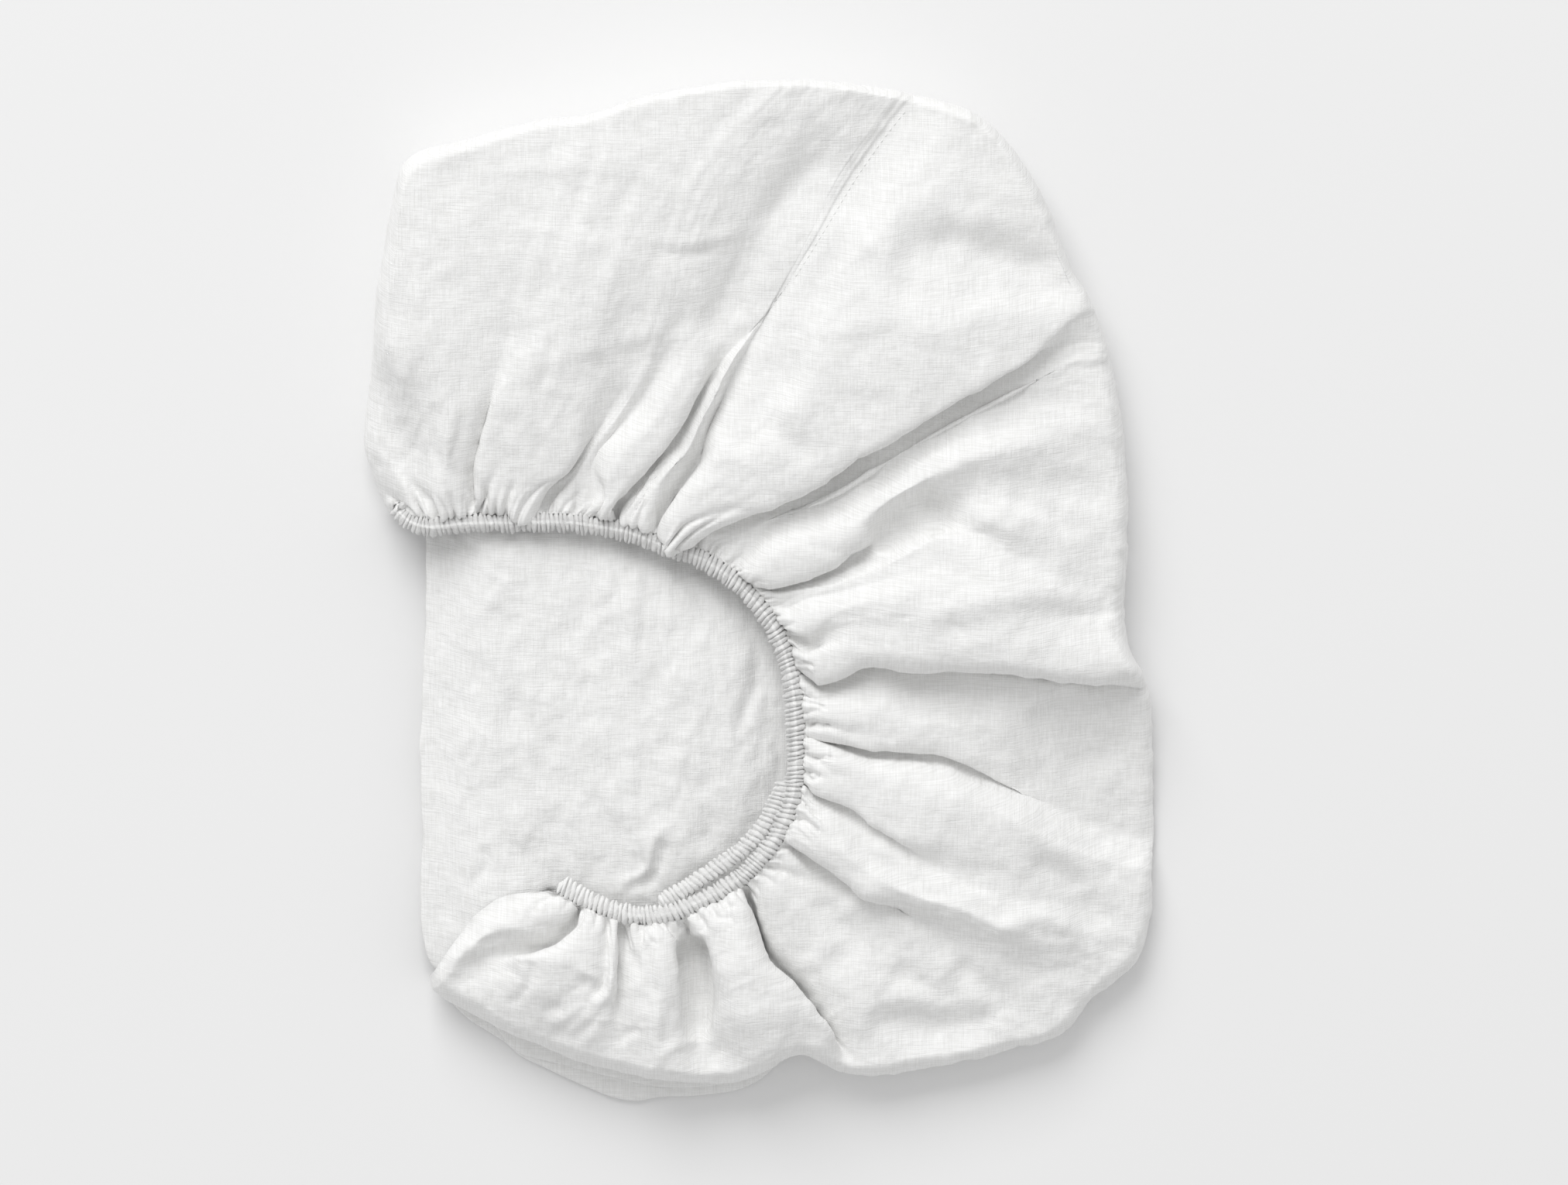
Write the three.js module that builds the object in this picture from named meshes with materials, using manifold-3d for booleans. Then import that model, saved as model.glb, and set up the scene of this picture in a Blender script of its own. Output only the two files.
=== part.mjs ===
// A linen fitted sheet folded flat: a back-and-forth stack of its main panel, lying in the puffed pocket of
// its own skirt, with the gathered elastic edge drawn into a C on top. Millimetres, +Z up, lying on z = 0.
// The origin is the centre of the bundle's footprint on the surface that it lies on.
import * as THREE from "three";
import { mergeVertices } from "three/addons/utils/BufferGeometryUtils.js";
import Module from "manifold-3d";

const wasm = await Module();
wasm.setup();

// ---------------------------------------------------------------- driving dimensions, mm
const UNIT = 0.3; // one plan unit of the tables below
const PLAN_X = 980.62; // plan unit that lies at x = 0
const PLAN_Y = 760.06; // plan unit that lies at y = 0
const CLOTH = 1.2; // thickness of a layer
const BASE = 2.0; // thickness of the lowest layer
const MID_Z = 1.0; // height of the middle of a layer where it joins the lowest one
const LAYERS = 12; // layers of the folded panel above the lowest one
const PANEL_Z = 21.8; // height of the middle of its top layer
const HEM_W = 6.4; // width of the gathered hem, with the elastic in it
const HEM_H = 4.6; // its height
const HEM_Z = 25.6; // height of its middle, clear of the panel's top layer
const RIM_DROP = 5.0; // how far in from the outline the rim starts to turn down
const RIM_UNDER = 12.0; // how far in from the outline the rim meets the surface
const PER_ROW = 2; // stations between two rows of the skirt's table

const X = (px) => (px - PLAN_X) * UNIT;
const Y = (py) => (PLAN_Y - py) * UNIT;

// ---------------------------------------------------------------- the skirt, a row for each ridge, edge or valley
// ex, ey: its end at the elastic hem. mx, my: its middle. ox, oy: its end at the outline.
// ze, z1, z2, z3: heights at the hem and a quarter, half and four fifths of the way out. zo: where it is widest.
const SKIRT = [
  // ex,   ey,   mx,   my,   ox,   oy, ze, z1, z2, z3, zo
  [534, 684, 512, 671, 494, 652, 13, 14, 14, 13, 10], // the turned-in end
  [554, 686, 503, 648, 468, 575, 21, 25, 26, 23, 12],
  [578, 684, 527, 585, 472, 470, 25, 29, 33, 30, 14],
  [602, 682, 556, 510, 490, 305, 25, 32, 37, 34, 15], // upper left lobe
  [620, 681, 630, 465, 545, 192, 25, 29, 36, 35, 15],
  [645, 680, 655, 440, 640, 168, 25, 35, 40, 38, 15],
  [680, 679, 720, 430, 760, 143, 25, 37, 43, 41, 15],
  [710, 677, 795, 425, 880, 113, 25, 37, 43, 42, 15],
  [735, 679, 832, 432, 945, 104, 25, 28, 34, 37, 15], // pocket beside it
  [768, 683, 890, 410, 1040, 101, 25, 36, 40, 40, 15],
  [800, 689, 930, 405, 1100, 104, 25, 33, 36, 39, 15],
  [828, 696, 962, 400, 1140, 109, 25, 28, 31, 36, 15], // slot
  [842, 700, 992, 392, 1168, 114, 25, 28, 31, 37, 15], // under the central lobe
  [856, 705, 978, 398, 1190, 122, 25, 38, 43, 42, 15], // its left edge
  [876, 713, 1080, 380, 1275, 160, 25, 40, 47, 45, 15], // the central lobe
  [894, 719, 1150, 455, 1345, 250, 25, 39, 47, 45, 15],
  [908, 724, 1110, 597, 1400, 362, 25, 37, 45, 44, 15], // its lower edge
  [918, 729, 1082, 582, 1420, 400, 25, 28, 30, 34, 15], // under it
  [931, 737, 1128, 632, 1438, 445, 25, 28, 31, 36, 15],
  [951, 752, 1150, 622, 1449, 500, 25, 36, 42, 41, 15], // long thin lobe
  [970, 771, 1142, 692, 1456, 560, 25, 29, 33, 38, 15],
  [988, 795, 1160, 752, 1460, 655, 25, 36, 42, 40, 15],
  [1002, 822, 1180, 800, 1459, 740, 25, 33, 40, 38, 15],
  [1011, 843, 1200, 838, 1462, 812, 25, 37, 43, 39, 15],
  [1018, 862, 1218, 868, 1472, 850, 25, 37, 42, 38, 15], // lower edge of the upper lobes
  [1021, 874, 1222, 852, 1480, 868, 25, 28, 30, 31, 15], // under it
  [1025, 893, 1225, 892, 1486, 897, 25, 28, 31, 31, 15],
  [1029, 920, 1232, 932, 1491, 950, 25, 36, 37, 33, 15],
  [1031, 948, 1226, 984, 1494, 1055, 25, 28, 31, 32, 15],
  [1031, 980, 1220, 1032, 1493, 1110, 25, 37, 40, 36, 15],
  [1027, 1012, 1188, 1106, 1490, 1178, 25, 30, 33, 33, 15],
  [1017, 1045, 1172, 1142, 1474, 1238, 25, 37, 41, 37, 15],
  [1005, 1068, 1152, 1180, 1415, 1295, 25, 36, 39, 36, 15], // lower right lobe's edge
  [997, 1082, 1166, 1164, 1385, 1322, 25, 28, 29, 31, 15], // under it
  [985, 1098, 1108, 1206, 1345, 1348, 25, 28, 31, 32, 14],
  [972, 1113, 1055, 1232, 1222, 1378, 25, 33, 36, 33, 14],
  [956, 1128, 997, 1243, 1112, 1391, 25, 27, 28, 27, 13], // slot
  [930, 1146, 952, 1268, 1030, 1371, 25, 36, 38, 32, 13],
  [894, 1165, 897, 1270, 935, 1404, 25, 28, 30, 30, 13], // broad valley
  [865, 1175, 856, 1280, 870, 1415, 25, 36, 38, 32, 13],
  [812, 1179, 799, 1290, 800, 1419, 25, 29, 33, 30, 13],
  [790, 1174, 764, 1282, 738, 1396, 25, 36, 37, 31, 13],
  [756, 1158, 700, 1258, 648, 1349, 25, 34, 35, 30, 13],
  [742, 1150, 660, 1228, 588, 1308, 25, 27, 29, 27, 13],
  [727, 1142, 634, 1186, 556, 1278, 25, 32, 31, 27, 12],
  [714, 1131, 616, 1172, 549, 1250, 25, 27, 28, 26, 12],
];
// Where the inner turn of the hem shows, beside the outer one.
const INNER_TURN = [
  // x,    y
  [1012, 1000],
  [1001, 1030],
  [984, 1058],
  [960, 1088],
  [931, 1112],
  [902, 1131],
  [874, 1147],
  [850, 1160],
];
// The folded panel: its left and right folds, a row for each height of the plan.
const PANEL = [
  // y, left, right
  [240, 610, 1205],
  [330, 548, 1305],
  [610, 534, 1402],
  [705, 556, 1404],
  [900, 552, 1422],
  [1180, 552, 1422],
  [1250, 566, 1350],
  [1325, 690, 1120],
];
// How far out each left fold of the panel stands from the others, mm, from the lowest up.
const FOLD_OUT = [2.0, -1.2, 1.4, -0.8, 0.9, -0.4];

// ---------------------------------------------------------------- small tools
const lerp = (a, b, t) => a + (b - a) * t;
const spline = (a, b, c, d, t) =>
  0.5 *
  (2 * b +
    (c - a) * t +
    (2 * a - 5 * b + 4 * c - d) * t * t +
    (3 * b - a - 3 * c + d) * t * t * t);

// A table's columns at a fraction of a row.
function rowAt(table, t) {
  const last = table.length - 1,
    i = Math.min(last - 1, Math.max(0, Math.floor(t))),
    f = t - i;
  const at = (k) => table[Math.min(last, Math.max(0, k))];
  return table[0].map((_, c) =>
    spline(at(i - 1)[c], at(i)[c], at(i + 1)[c], at(i + 2)[c], f),
  );
}

// A closed body of the given thickness about a grid of points, grid[i][j].
function thickSheet(grid, thickness) {
  const ni = grid.length,
    nj = grid[0].length,
    half = thickness / 2,
    pos = [],
    index = [];
  const P = (i, j) =>
    grid[Math.min(ni - 1, Math.max(0, i))][Math.min(nj - 1, Math.max(0, j))];
  for (const side of [1, -1])
    for (let i = 0; i < ni; i++)
      for (let j = 0; j < nj; j++) {
        const du = P(i + 1, j).clone().sub(P(i - 1, j)),
          dv = P(i, j + 1).clone().sub(P(i, j - 1)),
          n = du.cross(dv).normalize();
        const p = P(i, j).clone().addScaledVector(n, half * side);
        pos.push(p.x, p.y, p.z);
      }
  const A = (i, j) => i * nj + j,
    B = (i, j) => ni * nj + i * nj + j;
  const quad = (a, b, c, d) => index.push(a, b, c, a, c, d);
  for (let i = 0; i < ni - 1; i++)
    for (let j = 0; j < nj - 1; j++) {
      quad(A(i, j), A(i + 1, j), A(i + 1, j + 1), A(i, j + 1));
      quad(B(i, j), B(i, j + 1), B(i + 1, j + 1), B(i + 1, j));
    }
  for (let i = 0; i < ni - 1; i++) {
    quad(A(i, 0), B(i, 0), B(i + 1, 0), A(i + 1, 0));
    quad(A(i, nj - 1), A(i + 1, nj - 1), B(i + 1, nj - 1), B(i, nj - 1));
  }
  for (let j = 0; j < nj - 1; j++) {
    quad(A(0, j), A(0, j + 1), B(0, j + 1), B(0, j));
    quad(A(ni - 1, j), B(ni - 1, j), B(ni - 1, j + 1), A(ni - 1, j + 1));
  }
  const g = new THREE.BufferGeometry();
  g.setAttribute("position", new THREE.Float32BufferAttribute(pos, 3));
  g.setIndex(index);
  return g;
}

function toSolid(geometry) {
  const g = geometry.clone();
  g.deleteAttribute("normal");
  g.deleteAttribute("uv");
  const m = mergeVertices(g, 1e-4);
  let solid = new wasm.Manifold(
    new wasm.Mesh({
      numProp: 3,
      vertProperties: new Float32Array(m.attributes.position.array),
      triVerts: new Uint32Array(m.index.array),
    }),
  );
  if (solid.volume() < 0) {
    const t = new Uint32Array(m.index.array);
    for (let i = 0; i < t.length; i += 3) [t[i + 1], t[i + 2]] = [t[i + 2], t[i + 1]];
    solid = new wasm.Manifold(
      new wasm.Mesh({
        numProp: 3,
        vertProperties: new Float32Array(m.attributes.position.array),
        triVerts: t,
      }),
    );
  }
  return solid;
}

function toGeometry(solid) {
  const m = solid.getMesh(),
    v = new Float32Array(m.numVert * 3);
  for (let i = 0; i < m.numVert; i++)
    v.set(m.vertProperties.subarray(i * m.numProp, i * m.numProp + 3), i * 3);
  const g = new THREE.BufferGeometry();
  g.setAttribute("position", new THREE.BufferAttribute(v, 3));
  g.setIndex(new THREE.BufferAttribute(new Uint32Array(m.triVerts), 1));
  g.computeVertexNormals();
  return g;
}

// ---------------------------------------------------------------- the skirt
// The plan point of a fold at w, from the elastic edge (0) to the outline (1).
function planPoint(r, w) {
  const a = (1 - w) * (1 - 2 * w),
    b = 4 * w * (1 - w),
    c = w * (2 * w - 1);
  return [
    X(a * r[0] + b * r[2] + c * r[4]),
    Y(a * r[1] + b * r[3] + c * r[5]),
  ];
}
function foldLine(t) {
  const r = rowAt(SKIRT, t);
  let length = 0;
  for (let k = 0; k < 24; k++) {
    const p = planPoint(r, k / 24),
      q = planPoint(r, (k + 1) / 24);
    length += Math.hypot(q[0] - p[0], q[1] - p[1]);
  }
  return { r, length };
}
const CONTROL_STEPS = [1, 2, 2, 2, 2, 1, 1, 2, 1];
function section(t) {
  const { r, length } = foldLine(t);
  const [, , , , , , ze, z1, z2, z3, zo] = r;
  const inner = (0.2 * HEM_W) / length,
    drop = Math.min(RIM_DROP, 0.16 * length),
    under = Math.min(RIM_UNDER, 0.5 * length);
  // [how far along the fold, height]
  const control = [
    [inner, ze],
    [Math.max(0.12, inner + 0.05), lerp(ze, z1, 0.62)],
    [Math.max(0.26, inner + 0.12), z1],
    [0.54, z2],
    [0.8, z3],
    [1 - drop / length, lerp(zo, z3, 0.66)],
    [1, zo],
    [1 - (0.3 * under) / length, lerp(MID_Z, zo, 0.34)],
    [1 - under / length, MID_Z],
    [1 - (under + 6) / length, MID_Z],
  ];
  const out = [];
  const last = control.length - 1,
    at = (k) => control[Math.min(last, Math.max(0, k))];
  for (let k = 0; k < last; k++)
    for (let n = 0; n < CONTROL_STEPS[k]; n++) {
      const f = n / CONTROL_STEPS[k];
      out.push([0, 1].map((c) => spline(at(k - 1)[c], at(k)[c], at(k + 1)[c], at(k + 2)[c], f)));
    }
  out.push(control[last]);
  return out.map(([w, z], k) => {
    const [x, y] = planPoint(r, w);
    return new THREE.Vector3(x, y, Math.max(MID_Z, z));
  });
}
const rows = (SKIRT.length - 1) * PER_ROW;
const skirtGrid = [];
for (let i = 0; i <= rows; i++) skirtGrid.push(section(i / PER_ROW));

// ---------------------------------------------------------------- the folded panel
// The back-and-forth line of the layers at one height of the plan: left, right in mm.
function panelLine(left, right) {
  const pitch = (PANEL_Z - MID_Z) / LAYERS,
    line = [];
  line.push([left + 14, MID_Z]);
  for (let k = 0; k <= LAYERS; k++) {
    const z = MID_Z + k * pitch,
      toRight = k % 2 === 1,
      out = FOLD_OUT[Math.floor(k / 2) % FOLD_OUT.length],
      lx = left - out + pitch / 2,
      rx = right - 0.5 * out - pitch / 2;
    if (k > 0) {
      const a = toRight ? lx : rx,
        b = toRight ? rx : lx;
      line.push([a, z]);
      if (k === LAYERS) line.push([b, z]);
    }
    if (k < LAYERS) {
      const atLeft = k % 2 === 0,
        nextOut = FOLD_OUT[Math.floor((k + 1) / 2) % FOLD_OUT.length],
        cx = atLeft ? lx : right - 0.5 * out - pitch / 2,
        sign = atLeft ? -1 : 1;
      for (let n = 0; n < 4; n++) {
        const a = -Math.PI / 2 + (Math.PI * n) / 4;
        line.push([cx + sign * (pitch / 2) * Math.cos(a), z + pitch / 2 + (pitch / 2) * Math.sin(a)]);
      }
    }
  }
  return line;
}
const panelGrid = PANEL.map(([y, left, right]) =>
  panelLine(X(left), X(right)).map(([x, z]) => new THREE.Vector3(x, Y(y), z)),
);

// ---------------------------------------------------------------- the lowest layer
const footprint = [];
for (let i = 0; i <= rows; i += 1) {
  const { r, length } = foldLine(i / PER_ROW),
    under = Math.min(RIM_UNDER, 0.5 * length);
  footprint.push(planPoint(r, 1 - (under - 1.5) / length));
}
const plate = new THREE.Shape();
plate.moveTo(...footprint[0]);
for (const p of footprint.slice(1)) plate.lineTo(...p);
plate.lineTo(X(560), Y(1240));
plate.lineTo(X(558), Y(705));
plate.closePath();
const plateGeometry = new THREE.ExtrudeGeometry(plate, {
  depth: BASE,
  bevelEnabled: false,
});

// ---------------------------------------------------------------- the gathered hem
// A tube of flattened section along a line of points, closed at its ends.
function tube(points, width, height, sides) {
  const pos = [],
    index = [],
    n = points.length;
  points.forEach((p, i) => {
    const a = points[Math.max(0, i - 1)],
      b = points[Math.min(n - 1, i + 1)];
    const dir = b.clone().sub(a).setZ(0).normalize(),
      side = new THREE.Vector3(-dir.y, dir.x, 0);
    const end = i === 0 || i === n - 1 ? 0.7 : 1;
    for (let k = 0; k < sides; k++) {
      const q = (k / sides) * 2 * Math.PI;
      const v = p
        .clone()
        .addScaledVector(side, (Math.cos(q) * width * end) / 2)
        .add(new THREE.Vector3(0, 0, (Math.sin(q) * height * end) / 2));
      pos.push(v.x, v.y, v.z);
    }
  });
  const V = (i, k) => i * sides + (k % sides);
  for (let i = 0; i < n - 1; i++)
    for (let k = 0; k < sides; k++)
      index.push(V(i, k), V(i, k + 1), V(i + 1, k + 1), V(i, k), V(i + 1, k + 1), V(i + 1, k));
  for (let k = 1; k < sides - 1; k++) {
    index.push(V(0, 0), V(0, k + 1), V(0, k));
    index.push(V(n - 1, 0), V(n - 1, k), V(n - 1, k + 1));
  }
  const g = new THREE.BufferGeometry();
  g.setAttribute("position", new THREE.Float32BufferAttribute(pos, 3));
  g.setIndex(index);
  return g;
}
const hemLine = [];
for (let i = 0; i < SKIRT.length; i++) {
  const r = SKIRT[i];
  hemLine.push(new THREE.Vector3(X(r[0]), Y(r[1]), Math.min(HEM_Z, r[6] + 0.6)));
}
const turnLine = [];
for (let i = 0; i <= (INNER_TURN.length - 1) * 2; i++) {
  const r = rowAt(INNER_TURN, i / 2);
  turnLine.push(new THREE.Vector3(X(r[0]), Y(r[1]), HEM_Z - 0.2));
}

// ---------------------------------------------------------------- the object
const sheet = toSolid(thickSheet(skirtGrid, CLOTH))
  .add(toSolid(thickSheet(panelGrid, CLOTH)))
  .add(toSolid(plateGeometry))
  .add(toSolid(tube(hemLine, HEM_W, HEM_H, 6)))
  .add(toSolid(tube(turnLine, HEM_W - 0.4, HEM_H - 0.4, 6)));
const linen = new THREE.MeshStandardMaterial({ color: 0xeeeeec, roughness: 0.95, metalness: 0 });
const mesh = new THREE.Mesh(toGeometry(sheet), linen);
mesh.name = "sheet";
const root = new THREE.Group();
root.add(mesh);

export default root;
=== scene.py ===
"""A linen fitted sheet, folded flat: its panel in a back-and-forth stack, its skirt puffed round it in gathered
folds, and its elastic hem drawn into a C. Plan positions in the tables are in plan units of 0.3 mm."""

import math

import bpy
import numpy as np
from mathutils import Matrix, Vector
from mathutils.bvhtree import BVHTree


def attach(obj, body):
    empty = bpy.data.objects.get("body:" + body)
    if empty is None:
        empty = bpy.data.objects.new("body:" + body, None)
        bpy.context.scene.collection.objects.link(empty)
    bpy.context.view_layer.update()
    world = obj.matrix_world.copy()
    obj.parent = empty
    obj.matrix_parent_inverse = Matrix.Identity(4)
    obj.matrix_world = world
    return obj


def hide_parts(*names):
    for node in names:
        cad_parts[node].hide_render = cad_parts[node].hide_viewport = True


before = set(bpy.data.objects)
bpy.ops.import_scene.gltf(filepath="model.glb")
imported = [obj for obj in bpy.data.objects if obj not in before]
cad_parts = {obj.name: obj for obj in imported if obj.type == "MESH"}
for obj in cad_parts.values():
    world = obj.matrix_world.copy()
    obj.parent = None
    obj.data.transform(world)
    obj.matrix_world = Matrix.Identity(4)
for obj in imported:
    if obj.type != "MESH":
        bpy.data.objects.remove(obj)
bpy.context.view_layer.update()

# ---------------------------------------------------------------- sizes
UNIT = 0.3  # mm in a plan unit
PLAN_X, PLAN_Y = 980.62, 760.06  # the plan unit at the origin
PANEL_Z = 22.0  # mm, top layer of the folded panel
HEM_Z = 25.7  # mm, middle of the gathered hem
HEM_W, HEM_H = 7.5, 4.9  # mm
LAYERS = 12
RNG = np.random.default_rng(20)


def mm(p):
    """Plan units (x, y) and mm (z) to metres in the frame."""
    p = np.asarray(p, float)
    out = np.empty(p.shape)
    out[..., 0] = (p[..., 0] - PLAN_X) * UNIT
    out[..., 1] = (PLAN_Y - p[..., 1]) * UNIT
    out[..., 2] = p[..., 2]
    return out * 0.001


# ---------------------------------------------------------------- tables
# The gathered hem's middle line, from the left end round to the curled end.
HEM = [(510, 652), (519, 665), (533, 675), (552, 680), (575, 679), (600, 676), (650, 675), (700, 674), (740, 675), (780, 681), (810, 687), (840, 698),
       (870, 710), (900, 719), (930, 736), (960, 760), (985, 788), (1005, 822), (1018, 860), (1025, 900), (1028, 950),
       (1027, 1000), (1020, 1040), (1005, 1075), (985, 1104), (960, 1130), (930, 1150), (900, 1165), (870, 1177),
       (840, 1182), (810, 1180), (780, 1171), (755, 1160), (737, 1150), (722, 1140)]
# The bundle's outline, clockwise from the left end of the skirt.
OUTLINE = [(503, 662), (490, 640), (475, 600), (468, 570), (475, 500), (483, 400), (498, 300), (507, 245), (520, 208),
           (550, 192), (600, 180), (650, 165), (700, 154), (750, 148), (800, 135), (850, 121), (900, 111), (950, 105),
           (1000, 102), (1050, 102), (1100, 105), (1150, 113), (1200, 125), (1250, 141), (1285, 163), (1312, 192),
           (1340, 238), (1365, 290), (1385, 332), (1402, 372), (1420, 412), (1432, 446), (1441, 485), (1450, 535),
           (1456, 600), (1458, 680), (1456, 740), (1453, 790), (1460, 838), (1478, 872), (1488, 905), (1491, 960),
           (1493, 1050), (1491, 1110), (1487, 1190), (1474, 1236), (1440, 1270), (1402, 1304), (1374, 1336),
           (1340, 1350), (1300, 1360), (1250, 1372), (1200, 1380), (1150, 1389), (1112, 1392), (1088, 1386),
           (1060, 1374), (1036, 1364), (1015, 1371), (985, 1388), (955, 1399), (900, 1402), (850, 1398), (800, 1387),
           (750, 1374), (700, 1354), (650, 1335), (600, 1309), (570, 1292), (556, 1280), (551, 1262)]
# The folds of the skirt, clockwise. lap: how far the part before it (+) or after it (-) lies over it, in plan
# units. cut: how deep and narrow its slot is, 0 to 1. till: how far out it stays sharp. z: heights in mm at the
# hem, a third, two thirds and all the way out.
FOLDS = [
    # name, lap, cut, till, z, path from the hem to the outline
    ("end", 0, .2, .5, (17, 16, 15, 13), [(516, 650), (509, 652), (503, 662)]),
    ("wrap", 3, .8, .9, (21, 19, 18, 16), [(534, 664), (520, 648), (505, 635), (488, 633)]),
    ("side", 0, .6, .3, (25, 28, 33, 33), [(558, 668), (549, 650), (537, 622), (515, 580), (490, 530), (473, 520)]),
    ("v1", -4, .9, .42, (24, 35.5, 40, 37), [(610, 663), (611, 642), (609, 602), (625, 542), (640, 482), (655, 425), (668, 350), (684, 250), (704, 153)]),
    ("v2", 10, .9, .25, (22, 33, 42.5, 40), [(693, 660), (701, 646), (725, 625), (750, 596), (780, 550), (808, 500), (831, 440), (850, 380), (868, 310), (893, 238), (930, 185), (975, 142), (1012, 103)]),
    ("v2b", -2, .5, .20, (26, 30, 37, 36.5), [(754, 668), (765, 651), (767, 632), (762, 606), (776, 576), (801, 548), (828, 515), (853, 468), (874, 415), (893, 360), (916, 300), (948, 240), (990, 190), (1030, 145), (1066, 103)]),
    ("v3", 7, 1.0, .36, (24.5, 25, 29.5, 30), [(797, 682), (802, 664), (820, 632), (842, 606), (870, 575), (890, 542), (908, 512), (940, 460), (980, 416), (1003, 378), (1040, 306), (1060, 266), (1090, 215), (1130, 158), (1159, 115)]),
    ("v4", -6, .8, .24, (23, 27, 32, 32), [(848, 694), (853, 670), (866, 644), (884, 616), (902, 588), (914, 550), (932, 510), (956, 466), (992, 402), (1023, 358), (1056, 306), (1080, 266), (1112, 215), (1152, 160), (1184, 122)]),
    ("v5", 15, 1.0, .93, (25, 26, 29, 31), [(899, 706), (914, 695), (936, 686), (960, 678), (1000, 664), (1040, 646), (1080, 621), (1100, 604), (1150, 575), (1200, 545), (1240, 522), (1300, 486), (1350, 460), (1390, 446), (1431, 444)]),
    ("v5b", -3, .4, .12, (26, 27, 31, 33), [(947, 736), (966, 712), (982, 688), (1003, 672), (1040, 659), (1085, 640), (1130, 614), (1180, 583), (1235, 552), (1300, 520), (1360, 492), (1437, 466)]),
    ("v6", 9, .9, .36, (26, 26, 36, 36), [(972, 752), (986, 760), (1002, 760), (1050, 750), (1085, 735), (1115, 718), (1145, 697), (1175, 676), (1215, 656), (1260, 642), (1320, 634), (1400, 632), (1457, 638)]),
    ("v6b", 0, .6, .10, (26, 41.5, 43, 38), [(998, 786), (1018, 784), (1045, 772), (1090, 762), (1150, 745), (1220, 724), (1300, 724), (1380, 738), (1457, 735)]),
    ("v7", 6, .9, .13, (26, 42, 43, 39), [(1016, 818), (1032, 831), (1060, 827), (1085, 813), (1110, 803), (1180, 803), (1260, 811), (1380, 807), (1454, 800)]),
    ("v8", 12, 1.0, .97, (23, 21, 20, 19), [(1030, 866), (1040, 880), (1052, 886), (1075, 881), (1100, 873), (1115, 864), (1130, 860), (1146, 864), (1170, 870), (1200, 869), (1230, 867), (1300, 872), (1400, 884), (1483, 890)]),
    ("v9", 10, 1.0, .75, (24, 21, 18, 8), [(1038, 946), (1048, 953), (1062, 957), (1100, 967), (1125, 974), (1150, 974), (1180, 976), (1220, 982), (1260, 1000), (1300, 1020), (1350, 1045), (1400, 1060), (1493, 1083)]),
    ("v10", 7, .9, .42, (24, 28.5, 29, 22), [(1036, 1008), (1046, 1024), (1062, 1033), (1100, 1051), (1115, 1064), (1150, 1086), (1200, 1118), (1250, 1140), (1320, 1158), (1400, 1170), (1488, 1180)]),
    ("v11", 12, .9, .40, (22, 22, 24, 23), [(1010, 1086), (1022, 1096), (1034, 1104), (1047, 1114), (1070, 1128), (1100, 1148), (1130, 1162), (1150, 1172), (1200, 1200), (1250, 1228), (1300, 1252), (1360, 1280), (1406, 1302)]),
    ("v12", -3, 1.0, .97, (17, 12, 10, 25), [(957, 1146), (968, 1162), (976, 1182), (983, 1206), (992, 1232), (1004, 1248), (1022, 1264), (1042, 1292), (1066, 1326), (1083, 1350), (1098, 1390)]),
    ("v13", 1, .75, .75, (20, 17, 20, 24), [(880, 1188), (890, 1208), (900, 1232), (908, 1257), (908, 1290), (906, 1325), (908, 1360), (915, 1385), (926, 1408)]),
    ("v14", -2, .8, .60, (22, 23, 26, 24), [(803, 1192), (800, 1225), (799, 1260), (799, 1300), (800, 1340), (803, 1370), (808, 1398)]),
    ("v15", 2, .4, .70, (26, 30, 30, 24), [(783, 1186), (783, 1222), (783, 1256), (765, 1284), (745, 1306), (718, 1332), (692, 1359)]),
    ("v16", 6, .9, .60, (20, 20, 23, 24), [(746, 1171), (738, 1194), (722, 1213), (700, 1222), (665, 1226), (640, 1232), (618, 1243), (600, 1260), (586, 1304)]),
    ("edge", 0, .2, .5, (24, 23, 22.8, 21), [(716, 1150), (690, 1151), (646, 1158), (615, 1180), (590, 1210), (568, 1242), (551, 1262)]),
]
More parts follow.
